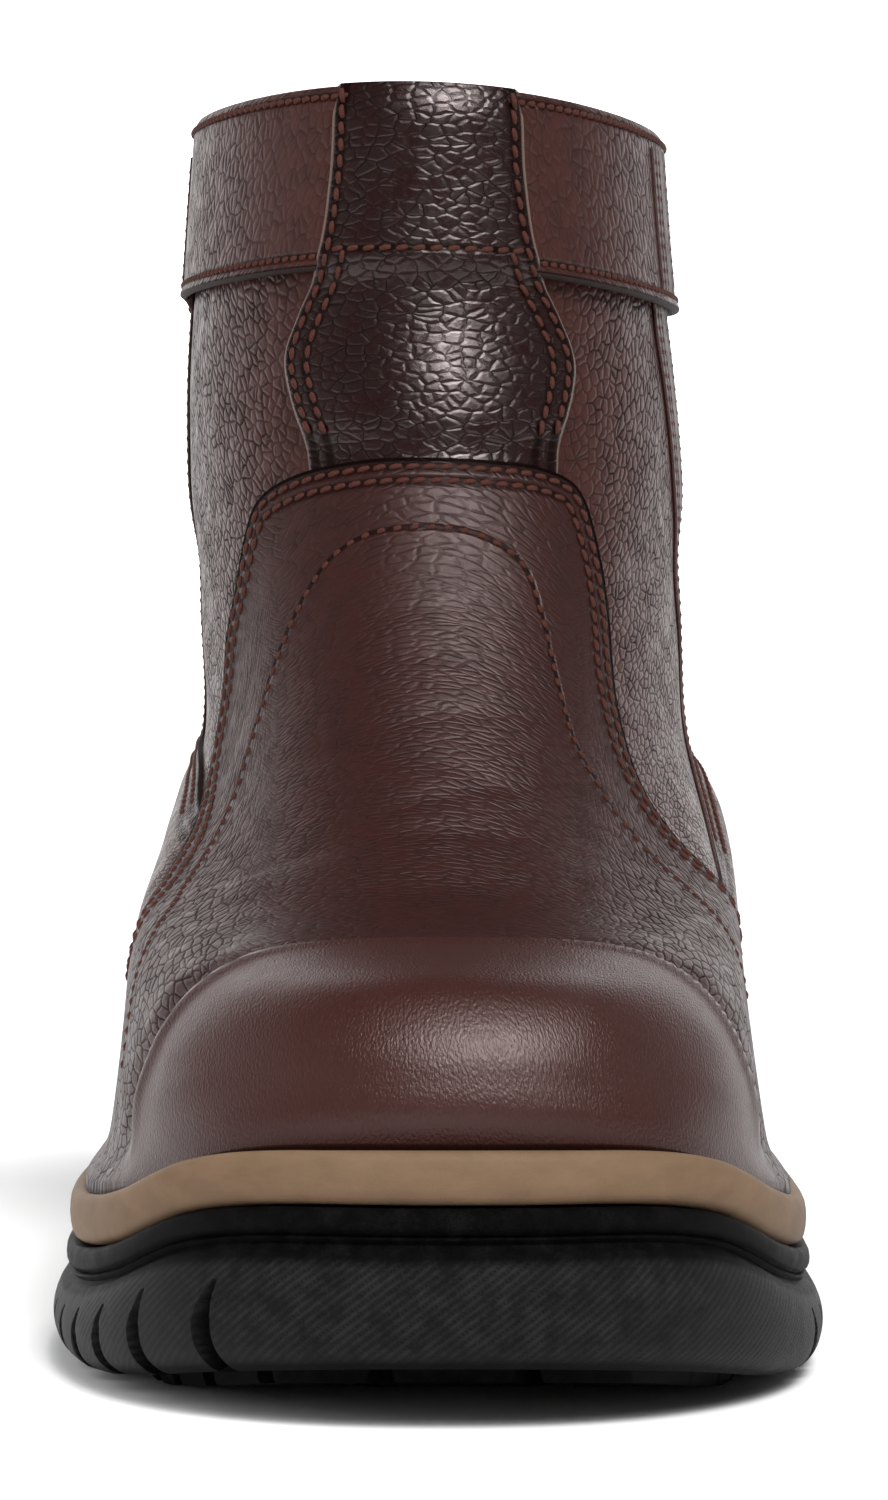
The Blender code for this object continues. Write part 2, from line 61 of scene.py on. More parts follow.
SECTIONS = (
    (8.9, 39.0, 299.3, 37.5, 48.4, 43.2, 35.5, 88, 40, 2.45, 1.00, 1.0, 0.0, 0.0),
    (8.2, 44.0, 301.0, 45.0, 47.2, 44.0, 36.5, 88, 40, 2.45, 0.92, 1.0, 0.0, 0.0),
    (10.5, 50.0, 301.5, 54.0, 46.1, 44.7, 37.0, 87, 41, 2.42, 0.80, 1.0, 0.0, 0.0),
    (17.5, 55.3, 300.5, 63.0, 45.4, 45.1, 37.0, 86, 42, 2.38, 0.64, 1.05, 0.0, 0.0),
    (30.0, 59.2, 298.0, 72.0, 45.2, 45.2, 36.8, 86, 43, 2.30, 0.46, 1.15, 0.0, 0.0),
    (46.0, 61.2, 295.0, 81.0, 44.9, 44.7, 36.5, 90, 44, 2.20, 0.28, 1.35, 0.0, 0.0),
    (62.0, 62.2, 292.0, 90.0, 43.6, 43.1, 36.3, 98, 46, 2.10, 0.12, 1.6, 0.0, 0.0),
    (79.0, 66.0, 289.5, 99.0, 42.1, 41.2, 36.3, 110, 48, 2.00, 0.00, 1.8, 0.0, 0.0),
    (96.0, 75.0, 287.5, 108.0, 40.7, 40.1, 36.6, 110, 50, 2.00, 0.00, 1.7, 0.0, 0.0),
    (113.0, 89.0, 286.0, 118.0, 40.6, 40.3, 37.4, 103, 53, 2.00, 0.00, 1.4, 0.0, 0.0),
    (128.5, 106.0, 285.0, 129.0, 41.6, 41.2, 38.8, 92, 57, 2.00, 0.00, 1.1, 0.0, 0.0),
    (141.0, 124.5, 284.3, 141.5, 42.2, 42.0, 40.2, 80, 61, 2.00, 0.00, 0.8, 0.5, 0.0),
    (150.0, 145.0, 284.0, 157.0, 41.4, 41.4, 41.2, 70, 64, 2.00, 0.00, 0.3, 1.2, 0.2),
    (156.0, 169.0, 284.0, 175.0, 39.8, 39.8, 39.8, 65, 63, 2.00, 0.00, 0.0, 2.2, 0.7),
    (160.0, 196.0, 284.0, 196.0, 38.2, 38.2, 38.2, 62, 62, 2.00, 0.00, 0.0, 3.3, 1.3),
)
TOP_LEVEL = len(SECTIONS) - 1
BALL_AT, WAIST_AT, HEEL_AT = 0.30, 0.60, 0.86           # shares of a section's length
SWING_D = (0, 40, 95, 150, 200, 260, 306)
SWING_X = (4.6, 3.2, 1.3, 1.5, 1.5, 0.6, 0.0)
MIDSOLE_D = (0, 9, 16, 22, 29, 36, 48, 62, 95, 130, 170, 210, 250, 306)
MIDSOLE_Z = (38.5, 38.1, 37.0, 35.5, 33.0, 30.6, 28.0, 26.3, 25.0, 26.0, 29.0, 32.8, 35.5, 37.0)
STEP = 1e-3                                             # in turn or level, for slopes
# Soft dents and ridges of wear: turn, level, half length, half width, slope from the ring, and depth
WALL_DENTS = (
    (50, 12.3, 20, 5.0, 8, -0.55), (-46, 12.1, 18, 5.0, -6, -0.5), (64, 10.6, 22, 6.0, 20, -0.6),
    (-70, 10.9, 24, 6.0, -16, -0.6), (100, 10.2, 30, 7.0, 4, -0.9), (-104, 10.0, 30, 7.0, -4, -0.9),
    (150, 10.4, 26, 6.5, 0, -0.9), (-148, 10.9, 26, 6.0, 3, -0.8), (120, 12.0, 26, 8.0, -5, 0.5),
    (-84, 9.2, 20, 6.0, -24, 0.5), (82, 8.9, 20, 6.0, 24, 0.5),
)
DENT_REACH = 25.0                                       # how far through the boot a dent is felt
TOE_MIDDLE_X = 3.0
FLARE, FLARE_HEIGHT = 2.6, 4.0


def smooth(places, values):
    """A smooth curve through a table's values, flat beyond its ends."""
    places, values = np.asarray(places, float), np.asarray(values, float)
    slopes = np.gradient(values, places)

    def curve(at):
        at = np.clip(at, places[0], places[-1])
        i = np.clip(np.searchsorted(places, at) - 1, 0, len(places) - 2)
        run = places[i + 1] - places[i]
        t = (at - places[i]) / run
        ends = (1 + 2 * t) * (1 - t) ** 2 * values[i] + t * t * (3 - 2 * t) * values[i + 1]
        return ends + run * (t * (1 - t) ** 2 * slopes[i] - t * t * (1 - t) * slopes[i + 1])

    return curve


SECTION = {
    name: smooth(range(len(SECTIONS)), column)
    for name, column in zip(SECTION_COLUMNS, zip(*SECTIONS))
}
swing_at = smooth(SWING_D, SWING_X)
midsole_top = smooth(MIDSOLE_D, MIDSOLE_Z)
sole_trim = smooth(*SOLE_TRIM)


def ease(value, start, end):
    """0 before start, 1 after end, and a soft step between them."""
    t = np.clip((np.asarray(value, float) - start) / (end - start), 0.0, 1.0)
    return t * t * (3 - 2 * t)


def bulge(away, half):
    """1 at a place, and softly down to 0 over a few half widths from it."""
    return np.exp(-((away / half) ** 2))


def rounded_end(along, length, square):
    left = np.clip(1 - along / length, 0.0, 1.0)
    return (1 - left**square) ** (1 / square)


def ring_point(turn, level):
    """Point of the wall's outer face, for a turn in radians round from the front and a level up the boot."""
    turn, level = np.broadcast_arrays(np.asarray(turn, float), np.asarray(level, float))
    at = {name: curve(level) for name, curve in SECTION.items()}
    share = (1 - np.cos(turn)) / 2
    length = at["back_d"] - at["front_d"]
    d = at["front_d"] + share * length
    width = at["ball"] + (at["waist"] - at["ball"]) * ease(share, BALL_AT, WAIST_AT)
    width = width + (at["heel"] - at["waist"]) * ease(share, WAIST_AT, HEEL_AT)
    width = width * rounded_end(share * length, at["front_r"], at["square"])
    width = width * rounded_end((1 - share) * length, at["back_r"], 2.0)
    x = at["swing"] * swing_at(d) + np.sign(np.sin(turn)) * width
    first, last = SECTIONS[0][0], SECTIONS[0][2]
    straight = midsole_top(first) + (midsole_top(last) - midsole_top(first)) * share
    wave = midsole_top(first + (last - first) * share) - straight
    z = at["front_z"] + (at["back_z"] - at["front_z"]) * share + at["sag"] * wave
    z = z - at["dip"] * np.sin(turn) ** 2 - at["tilt"] * np.sin(turn)
    return np.stack([x, d, z], axis=-1)


def wall_normal(turn, level):
    turn, level = np.broadcast_arrays(np.asarray(turn, float), np.asarray(level, float))
    along = ring_point(turn + STEP, level) - ring_point(turn - STEP, level)
    up = ring_point(turn, np.minimum(level + STEP, TOP_LEVEL)) - ring_point(turn, np.maximum(level - STEP, 0))
    normal = np.cross(along, up)
    return normal / np.linalg.norm(normal, axis=-1, keepdims=True)


def outline_point(turn, out):
    """Plan point, x and d, that stands out from the feather line. The sole is trimmed round the heel."""
    here = ring_point(turn, 0.0)[..., :2]
    along = ring_point(turn + STEP, 0.0)[..., :2] - ring_point(turn - STEP, 0.0)[..., :2]
    normal = np.stack([along[..., 1], -along[..., 0]], axis=-1)
    normal = normal / np.linalg.norm(normal, axis=-1, keepdims=True)
    return here + (np.asarray(out) * sole_trim(here[..., 1]))[..., None] * normal


SOLE_EDGE_X = outline_point(np.linspace(0.0, 2 * math.pi, 720), SOLE_OUT)[:, 0]
MIDDLE_X = (SOLE_EDGE_X.max() + SOLE_EDGE_X.min()) / 2


def in_frame(points):
    """Points in millimetres, x and d and z, as metres in the boot's frame."""
    return (np.asarray(points, float) - (MIDDLE_X, SOLE_LENGTH / 2, 0.0)) * MM


def dents(points, table):
    """Height that the dents and ridges of a table add at each point."""
    height = np.zeros(np.shape(points)[:-1])
    for turn, level, along, across, slope, depth in table:
        turn, slope = math.radians(turn), math.radians(slope)
        centre, normal = ring_point(turn, level), wall_normal(turn, level)
        ring = ring_point(turn + STEP, level) - ring_point(turn - STEP, level)
        ring = ring / np.linalg.norm(ring)
        way = math.cos(slope) * ring + math.sin(slope) * np.cross(normal, ring)
        away = points - centre
        spread = bulge(away @ way, along) * bulge(away @ np.cross(normal, way), across)
        height += depth * spread * bulge(away @ normal, DENT_REACH)
    return height


def toe_form(points):
    """Height that the toe's moulding adds: full in the middle, flat at the corners, with a leaning face."""
    x, d, z = np.moveaxis(points, -1, 0)
    off_middle = x - TOE_MIDDLE_X
    plan = 1.3 * bulge(off_middle, 16) - 0.9 * bulge(np.abs(off_middle) - 33, 12)
    lean = 1.0 * bulge(z - 57, 2.5) - 2.0 * bulge(z - 48, 5.5)
    return (plan * ease(z - midsole_top(d), 0, 8) + lean) * ease(d, 42, 14)


def foot_flare(points):
    """Height that the wall's foot adds where it is pulled out over the midsole, behind the toe."""
    d, z = points[..., 1], points[..., 2]
    return FLARE * bulge(z - midsole_top(d), FLARE_HEIGHT) * ease(d, 32, 60)


def wall_point(turn, level, out):
    """Point that stands out from the worn wall by a distance along its normal."""
    bare = ring_point(turn, level)
    out = np.broadcast_to(np.asarray(out, float), bare.shape[:-1]) + dents(bare, WALL_DENTS)
    out = out + toe_form(bare) + foot_flare(bare)
    return bare + out[..., None] * wall_normal(turn, level)


def hex_colour(text):
    """Linear colour of an sRGB hex value."""
    parts = [int(text[i:i + 2], 16) / 255 for i in (1, 3, 5)]
    return (*[p / 12.92 if p <= 0.04045 else ((p + 0.055) / 1.055) ** 2.4 for p in parts], 1.0)


def repeats(size):
    """How often a pattern comes in a metre, from its real size in millimetres."""
    return 1 / (size * MM)


def add_node(tree, kind, inputs=None, output=0, **settings):
    """Adds a node with its settings and gives one output. An input is a value or another node's output."""
    node = tree.nodes.new("ShaderNode" + kind)
    for name, value in settings.items():
        setattr(node, name, value)
    for name, value in (inputs or {}).items():
        if isinstance(value, bpy.types.NodeSocket):
            tree.links.new(value, node.inputs[name])
        else:
            node.inputs[name].default_value = value
    return node.outputs[output]


def new_material(name, **sockets):
    """Material, a way to add nodes to it, and its shader, whose constant values go on its own sockets."""
    made = bpy.data.materials.new(name)
    made.use_nodes = True
    shader = made.node_tree.nodes["Principled BSDF"]
    for socket, value in sockets.items():
        shader.inputs[socket.replace("_", " ")].default_value = value
    return made, functools.partial(add_node, made.node_tree), shader


def wire(shader, **outputs):
    """Links outputs to the shader's sockets."""
    for socket, output in outputs.items():
        shader.id_data.links.new(output, shader.inputs[socket.replace("_", " ")])


def two_tone(add, shader, pattern, low, high, relief, depth, strength=1.0):
    """Gives a shader a colour between two hex values by a pattern, and a relief of a depth in millimetres."""
    tone = add("Mix", {"Factor": pattern, 6: hex_colour(low), 7: hex_colour(high)}, 2, data_type="RGBA")
    bump = add("Bump", {"Height": relief, "Distance": depth * MM, "Strength": strength})
    wire(shader, Base_Color=tone, Normal=bump)


# Near-black painted shade for creases, stitch channels and the line at the sole, and the default colour of a
# cut edge, partly its dressing and partly painted shadow
PAINTED_SHADE = "#0c0504"


def leather(name, top, tint, layers, depth, rough, shine=0.5, rows=(), edge_width=0.0, edge=PAINTED_SHADE, worn=None):
    """Pebbled cowhide, drum-dyed and oiled: rounded cells with creases painted dark as painted shade, and a
    satin, uneven shine.

    Each layer of cells has attributes of the mesh for its strength and its lay, the size of a cell, the
    shares of a cell that are rounded off and cracked, and how dark its cracks are painted: painted shade in
    cracks too deep to shine. Each row, a stitch row or the line at the sole, has an attribute for a distance,
    the place in it where the leather is drawn in and painted with shade, and the row's half width. The cut
    edge is painted in from seam 0; a dark edge colour is partly the edge's dressing and partly painted
    shadow along the edge. worn is the colour where the mesh says toe, rubbed and burnished, and polish
    says where it shines more.
    """
    made, add, shader = new_material(name, Specular_Tint=hex_colour("#fff0ee"))
    place = add("TexCoord", output="Object")
    patches = add("TexNoise", {"Vector": place, "Scale": repeats(4.44), "Detail": 4.0, "Roughness": 0.6})
    uneven = add("MapRange", {"Value": patches, "From Min": 0.3, "From Max": 0.6,
                              "To Min": 0.4, "To Max": 1.0})
    relief, furrow, worked, drawn, dull = 0.0, 0.0, 0.0, 0.0, rough
    for attribute, lay_name, size, shoulder, gap, crease_shade in layers:
        lay = add("Attribute", output="Vector", attribute_name=lay_name)
        lay = add("Mapping", {"Vector": lay, "Scale": (repeats(size[0]), repeats(size[1]), 1.0)})
        warp = add("TexNoise", {"Vector": lay, "Scale": 1.2, "Detail": 1.0}, "Color")
        warp = add("VectorMath", {0: warp, 1: (0.5, 0.5, 0.5)}, operation="SUBTRACT")
        warp = add("VectorMath", {0: warp, "Scale": 0.42}, operation="SCALE")
        lay = add("VectorMath", {0: lay, 1: warp})
        border = add("TexVoronoi", {"Vector": lay, "Scale": 1.0}, "Distance",
                     voronoi_dimensions="2D", feature="DISTANCE_TO_EDGE")
        strength = add("Attribute", output="Fac", attribute_name=attribute)
        strength = add("Math", {0: strength, 1: uneven}, operation="MULTIPLY")
        worked = add("Math", {0: worked, 1: strength})
        dome = add("MapRange", {"Value": border, "From Max": shoulder}, interpolation_type="SMOOTHSTEP")
        relief = add("Math", {0: dome, 1: strength, 2: relief}, operation="MULTIPLY_ADD")
        crease = add("MapRange", {"Value": border, "From Max": gap, "To Min": crease_shade, "To Max": 0.0},
                     interpolation_type="SMOOTHSTEP")
        crease = add("Math", {0: crease, 1: strength}, operation="MULTIPLY")
        furrow = add("Math", {0: furrow, 1: crease}, operation="MAXIMUM")
    pores = add("TexNoise", {"Vector": place, "Scale": repeats(0.105), "Detail": 3.0, "Roughness": 0.65})
    relief = add("Math", {0: pores, 1: 0.12, 2: relief}, operation="MULTIPLY_ADD")
    for attribute, row, half in rows:
        away = add("Attribute", output="Fac", attribute_name=attribute)
        away = add("Math", {0: away, 1: row}, operation="SUBTRACT")
        away = add("Math", {0: away}, operation="ABSOLUTE")
        near = add("MapRange", {"Value": away, "From Min": half * 0.25, "From Max": half,
                                "To Min": 1.0, "To Max": 0.0}, interpolation_type="SMOOTHSTEP")
        drawn = add("Math", {0: drawn, 1: near}, operation="MAXIMUM")
    relief = add("Math", {0: drawn, 1: -1.0, 2: relief}, operation="MULTIPLY_ADD")
    coats = []
    if worn:
        rubbed = add("Attribute", output="Fac", attribute_name="toe")
        lay = add("Attribute", output="Vector", attribute_name="lay")
        lay = add("Mapping", {"Vector": lay, "Scale": (repeats(0.417), repeats(0.606), 1.0)})
        pebble = add("TexNoise", {"Vector": lay, "Scale": 1.0, "Detail": 2.0}, noise_dimensions="2D")
        pebble = add("Math", {0: pebble, 1: rubbed}, operation="MULTIPLY")
        relief = add("Math", {0: pebble, 1: 1.3, 2: relief}, operation="MULTIPLY_ADD")
        polish = add("Attribute", output="Fac", attribute_name="polish")
        shine = add("Math", {0: polish, 1: 0.3, 2: shine}, operation="MULTIPLY_ADD")
        coats.append((add("Math", {0: rubbed, 1: uneven}, operation="MULTIPLY"), worn))
    fleck = add("MapRange", {"Value": pores, "From Min": 0.48, "From Max": 0.72, "To Max": 0.5})
    # Creases are painted with shade, and the pores fleck darker
    coats.append((add("Math", {0: furrow, 1: fleck}, operation="MAXIMUM"), PAINTED_SHADE))
    # Stitch channels and the line at the sole are painted with shade where the leather is drawn in
    shade = add("Math", {0: drawn, 1: 0.78}, operation="MULTIPLY")
    coats.append((shade, PAINTED_SHADE))
    matt = add("Math", {0: furrow, 1: shade}, operation="MAXIMUM")
    # A dark edge colour is partly the cut edge's dressing and partly painted shadow along the panel's edge
    if edge_width:
        seam = add("Attribute", output="Fac", attribute_name="seam")
        paint = add("MapRange", {"Value": seam, "From Min": edge_width * 0.5, "From Max": edge_width,
                                 "To Min": 1.0, "To Max": 0.0})
        coats.append((paint, edge))
        matt = add("Math", {0: matt, 1: paint}, operation="MAXIMUM")
    tone = add("MapRange", {"Value": patches, "From Min": 0.4, "From Max": 0.66},
               interpolation_type="SMOOTHSTEP")
    colour = add("Mix", {"Factor": tone, 6: hex_colour(top), 7: hex_colour(tint)}, 2, data_type="RGBA")
    for cover, coat in coats:
        colour = add("Mix", {"Factor": cover, 6: colour, 7: hex_colour(coat)}, 2, data_type="RGBA")
    for roughened, share in ((furrow, 0.25), (patches, 0.14), (worked, 0.16)):
        dull = add("Math", {0: roughened, 1: share, 2: dull}, operation="MULTIPLY_ADD")
    sheen = add("MapRange", {"Value": matt, "To Min": shine, "To Max": 0.02})
    bump = add("Bump", {"Height": relief, "Strength": 1.0, "Distance": depth * MM})
    wire(shader, Base_Color=colour, Roughness=dull, Specular_IOR_Level=sheen, Normal=bump)
    return made


def cut_edge(name, colour):
    """Cut and painted edge of leather: short fibres sealed with a dark dressing, nearly matt."""
    made, add, shader = new_material(name, Roughness=0.7, Specular_IOR_Level=0.2)
    place = add("TexCoord", output="Object")
    fibre = add("TexNoise", {"Vector": place, "Scale": repeats(0.222), "Detail": 4.0})
    two_tone(add, shader, fibre, "#140c0b", colour, fibre, 0.15)
    return made


def set_attribute(obj, name, values):
    """Stores a number or a vector for each vertex."""
    values = np.asarray(values, "float32")
    kind, field = ("FLOAT", "value") if values.ndim == 1 else ("FLOAT_VECTOR", "vector")
    obj.data.attributes.new(name, kind, "POINT").data.foreach_set(field, values.ravel())


def lay_of(points, columns, rows):
    """How a panel lies: metres along its rows from the middle, and metres up its columns."""
    lines = points.reshape(rows + 1, columns + 1, 3) * MM
    along = np.cumsum(np.linalg.norm(np.diff(lines, axis=1, prepend=lines[:, :1]), axis=-1), axis=1)
    up = np.cumsum(np.linalg.norm(np.diff(lines, axis=0, prepend=lines[:1]), axis=-1), axis=0)
    along = along - along[:, columns // 2][:, None]
    return np.column_stack([along.ravel(), up.ravel(), np.zeros(along.size)])


def add_panel(name, columns, rows, point, closed=False):
    """Sheet shaped from a flat grid: point gives a place in millimetres for shares across and up."""
    bpy.ops.object.select_all(action="DESELECT")
    bpy.ops.mesh.primitive_grid_add(x_subdivisions=columns, y_subdivisions=rows, size=1.0)
    obj = bpy.context.object
    obj.name = obj.data.name = name
    flat = np.empty(len(obj.data.vertices) * 3)
    obj.data.vertices.foreach_get("co", flat)
    across, up = flat[0::3] + 0.5, flat[1::3] + 0.5
    points, attributes = point(across, up)
    obj.data.vertices.foreach_set("co", in_frame(points).ravel())
    attributes.setdefault("lay", lay_of(points, columns, rows))
    for attribute, values in attributes.items():
        set_attribute(obj, attribute, values)
    if closed:
        bpy.ops.object.mode_set(mode="EDIT")
        bpy.ops.mesh.select_all(action="SELECT")
        bpy.ops.mesh.remove_doubles(threshold=1e-7)
        bpy.ops.object.mode_set(mode="OBJECT")
    obj.data.update()
    return obj


def apply_modifier(obj, kind, **settings):
    made = obj.modifiers.new(kind.title(), kind)
    for name, value in settings.items():
        setattr(made, name, value)
    bpy.context.view_layer.objects.active = obj
    bpy.ops.object.modifier_apply(modifier=made.name)


def thicken(obj, thickness, bevel, *materials):
    """Gives a sheet its thickness inwards and rounds its cut edges. Materials: face, any other back, rim."""
    for material in materials:
        obj.data.materials.append(material)
    varied = obj.data.attributes.get("thick")
    group = ""
    if varied:
        group = obj.vertex_groups.new(name="thickness").name
        for i, value in enumerate(varied.data):
            obj.vertex_groups[group].add([i], value.value / thickness, "REPLACE")
    apply_modifier(obj, "SOLIDIFY", thickness=thickness * MM, offset=-1.0, use_quality_normals=True,
                   vertex_group=group, material_offset=len(materials) - 2,
                   material_offset_rim=len(materials) - 1)
    if bevel:
        apply_modifier(obj, "BEVEL", width=bevel * MM, segments=3, limit_method="ANGLE",
                       angle_limit=math.radians(50), use_clamp_overlap=True)
    bpy.ops.object.select_all(action="DESELECT")
    obj.select_set(True)
    bpy.context.view_layer.objects.active = obj
    bpy.ops.object.shade_smooth_by_angle(angle=math.radians(60))


def wall_sheet(across, up):
    turn, level = across * 2 * math.pi, up * TOP_LEVEL
    round_from_front = np.degrees(np.arccos(np.cos(turn)))
    return wall_point(turn, level, 0.0), {"grain": 0.35 + 0.6 * ease(round_from_front, 24, 50)}


# Knitted polyester: small fuzzy loops without a shine, which read as one soft dark brown
lining_cloth, add, shader = new_material("lining_cloth", Roughness=0.95, Sheen_Weight=0.3)
knit = add("TexVoronoi", {"Vector": add("TexCoord", output="Object"), "Scale": repeats(1.43)}, "Distance")
two_tone(add, shader, knit, "#4d4038", "#2a221d", knit, 0.5, 0.8)

# Shaft hide: the roundest cells of the boot, with plain creases painted dark as painted shade, fainter
# towards the front
SHAFT_LAYERS = (("grain", "lay", (2.6, 2.3), 0.32, 0.15, 1.0),)
shaft_leather = leather("shaft_leather", "#3b1f1b", "#321814", SHAFT_LAYERS, 0.22, 0.22, shine=0.3)
wall_edge = cut_edge("wall_edge", "#2c1c18")
shaft = add_panel("shaft_wall", *WALL_GRID, wall_sheet, closed=True)
thicken(shaft, WALL, COLLAR_ROUND, shaft_leather, lining_cloth, wall_edge)
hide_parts("upper")
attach(shaft, "root")


# Side strips: a narrow strip of the same hide over each side seam, from the collar down to the counter.
# It runs over the collar band and is held by stitch rows along its edges.
STRIP_WIDTH = 13.0
STRIP_THICK = 0.6
STRIP_GRID = (16, 110)
STRIP_ROWS = (1.7, 4.1)
# Height, and the front edge's place on the inner and on the outer side
STRIP = (
    (62.0, 150, 158), (70.0, 162, 172), (78.0, 175, 187), (87.0, 186, 201), (97.0, 192, 210),
    (112.0, 195, 216), (135.0, 196, 219), (160.0, 196, 220), (188.0, 197, 221),
)
COLLAR_HEIGHT = 196.0
BAND_HEIGHT = 30.0
BAND_FOOT = COLLAR_HEIGHT - BAND_HEIGHT
OVERLAY = 1.6
OVERLAY_GAP = 0.45


def level_for(turn, z):
    """Level at which the wall has a height, for each turn."""
    levels = np.linspace(0.0, TOP_LEVEL, 100)
    pairs, back = np.unique(np.stack(np.broadcast_arrays(turn, z)), axis=1, return_inverse=True)
    heights = ring_point(pairs[0][:, None], levels[None, :])[..., 2]
    found = np.array([np.interp(height, line, levels) for height, line in zip(pairs[1], heights)])
    return found[back.ravel()]


def turn_for(level, d):
    """Turn on the inner side at which the wall is a distance back from the toe tip."""
    front, back = SECTION["front_d"](level), SECTION["back_d"](level)
    return np.arccos(np.clip(1 - 2 * (d - front) / (back - front), -1, 1))


def on_wall(d, z, side):
    """Turn and level of the wall's point at a distance back and a height, on the inner or outer side."""
    turn = np.full(np.shape(d), math.pi / 2)
    for step in range(6):
        level = level_for(side * turn, z)
        turn = turn_for(level, d)
    return side * turn, level


def strip_place(z, inset, side):
    """Turn and level on a strip at a height and a distance in from its front edge."""
    front_edge = smooth([row[0] for row in STRIP], [row[1 if side > 0 else 2] for row in STRIP])
    return on_wall(front_edge(z) + inset, z, side)


def strip_out(z):
    """How far the strip stands out: it steps up over the collar band."""
    return STRIP_THICK + ease(z, BAND_FOOT - 4.5, BAND_FOOT - 1.5) * (OVERLAY_GAP + OVERLAY - 0.2)


def strip_sheet(across, up, side):
    z = STRIP[0][0] + (STRIP[-1][0] - STRIP[0][0]) * up
    share = across if side > 0 else 1 - across
    turn, level = strip_place(z, share * STRIP_WIDTH, side)
    out = strip_out(z)
    off_band = ease(z, BAND_FOOT - 0.6, BAND_FOOT - 1.4)
    return wall_point(turn, level, out), {
        "grain": np.full(len(turn), 0.5),
        "seam": np.minimum(share, 1 - share) * STRIP_WIDTH,
        "thick": STRIP_THICK + off_band * (out - STRIP_THICK),
    }


# Strip hide: shaved thin, so its cells are flat and it is duller than the shaft
STRIP_LAYERS = (("grain", "lay", (2.0, 2.0), 0.3, 0.06, 0.7),)
strip_leather = leather("strip_leather", "#351b17", "#2e1512", STRIP_LAYERS, 0.16, 0.38,
                        rows=[("seam", row, 1.1) for row in STRIP_ROWS])
for side, name in ((1, "side_strip_inner"), (-1, "side_strip_outer")):
    strip = add_panel(name, *STRIP_GRID, functools.partial(strip_sheet, side=side))
    thicken(strip, 3.0, 0.35, strip_leather, strip_leather)
    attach(strip, "root")


# Heel counter: one piece of the same hide round the heel, sewn along its top edge to the shaft and
# pulled down under the vamp wings at both sides. It covers a stiffener that holds the heel in shape.
# Edge of the vamp that lies over it: turn and level of a place, and the turn of the sole under it
VAMP_EDGE = (
    (-70.0, 0.0, -70.0), (-67.0, 2.6, -68.0), (-65.0, 4.5, -64.5), (-64.2, 5.3, -59.0), (-64.5, 5.9, -52.5),
    (-66.0, 6.6, -46.5), (-67.4, 7.3, -43.5), (-67.4, 7.8, -41.5), (-65.0, 8.45, -39.7), (-61.8, 8.95, -38.0),
    (-58.2, 9.6, -36.2), (-53.0, 10.15, -34.0), (-48.0, 10.7, -31.2), (-42.0, 11.1, -27.3),
    (-30.0, 11.35, -20.5), (-14.0, 11.48, -10.3), (0.0, 11.5, 0.0), (13.0, 11.47, 12.0), (24.0, 11.4, 25.0),
    (33.0, 11.2, 35.0), (38.0, 10.7, 43.0), (41.5, 10.1, 50.0), (44.0, 9.3, 57.0), (48.5, 8.5, 63.0),
    (57.0, 7.3, 69.0), (62.5, 6.2, 74.0), (70.0, 4.6, 78.0), (77.0, 2.6, 81.0), (82.0, 0.0, 82.0),
)
# Top edge of the counter: degrees from the front and height
COUNTER_INNER = ((70, 50.0), (77, 57.5), (85, 69.0), (97, 82.5), (116, 91.0), (146, 95.5), (180, 97.0))
COUNTER_OUTER = (
    (56, 73.0), (64, 76.0), (70, 78.0), (75, 80.5), (80, 84.0), (95, 88.0),
    (116, 91.0), (146, 95.5), (180, 97.0),
)
COUNTER_GRID = (170, 46)
COUNTER_ROWS = (1.8, 4.3)
COUNTER_SKIVE, SKIVE_WIDTH = 1.2, 9.0
WING_TUCK = 0.75
INNER_FULLNESS = 1.7


def nearest_on(line):
    """Tree that finds the place of a line nearest to a point."""
    tree = kdtree.KDTree(len(line))
    for i, place in enumerate(line):
        tree.insert(place, i)
    tree.balance()
    return tree


def off_line(points, line, facing):
    """Distance of each point from a line on the leather, with a sign for its side: below 0 in the panel."""
    nearest = nearest_on(line)
    side = np.cross(facing, np.gradient(line, axis=0))
    found = np.array([nearest.find(point)[1] for point in points])
    away = points - line[found]
    return np.linalg.norm(away, axis=1) * np.sign((away * side[found]).sum(axis=1))


def moved_in(turn, level, inset):
    """Places of a line on the wall, moved into the panel by a distance."""
    side = np.cross(np.gradient(ring_point(turn, level), axis=0), wall_normal(turn, level))
    shift = inset / 3 * side / np.linalg.norm(side, axis=1, keepdims=True)
    for part in range(3):
        round_it = (ring_point(turn + STEP, level) - ring_point(turn - STEP, level)) / (2 * STEP)
        up_it = (ring_point(turn, level + STEP) - ring_point(turn, level - STEP)) / (2 * STEP)
        a, b, c = (round_it**2).sum(axis=1), (round_it * up_it).sum(axis=1), (up_it**2).sum(axis=1)
        e, f = (round_it * shift).sum(axis=1), (up_it * shift).sum(axis=1)
        turn = turn + (e * c - f * b) / (a * c - b * b)
        level = level + (f * a - e * b) / (a * c - b * b)
    return turn, level


def wall_line(turn, level, out):
    return wall_point(turn, level, out), wall_normal(turn, level)


def counter_edge(across):
    """Turn and level along the counter's top edge, from the inner side round the heel to the outer side."""
    start, end = COUNTER_INNER[0][0], 360 - COUNTER_OUTER[0][0]
    angle = start + (end - start) * across
    inner, outer = [smooth(*zip(*table)) for table in (COUNTER_INNER, COUNTER_OUTER)]
    heights = np.where(angle < 180, inner(angle), outer(360 - angle))
    return np.radians(angle), level_for(np.radians(angle), heights)


counter_turn, counter_level = counter_edge(np.linspace(0.0, 1.0, 500))


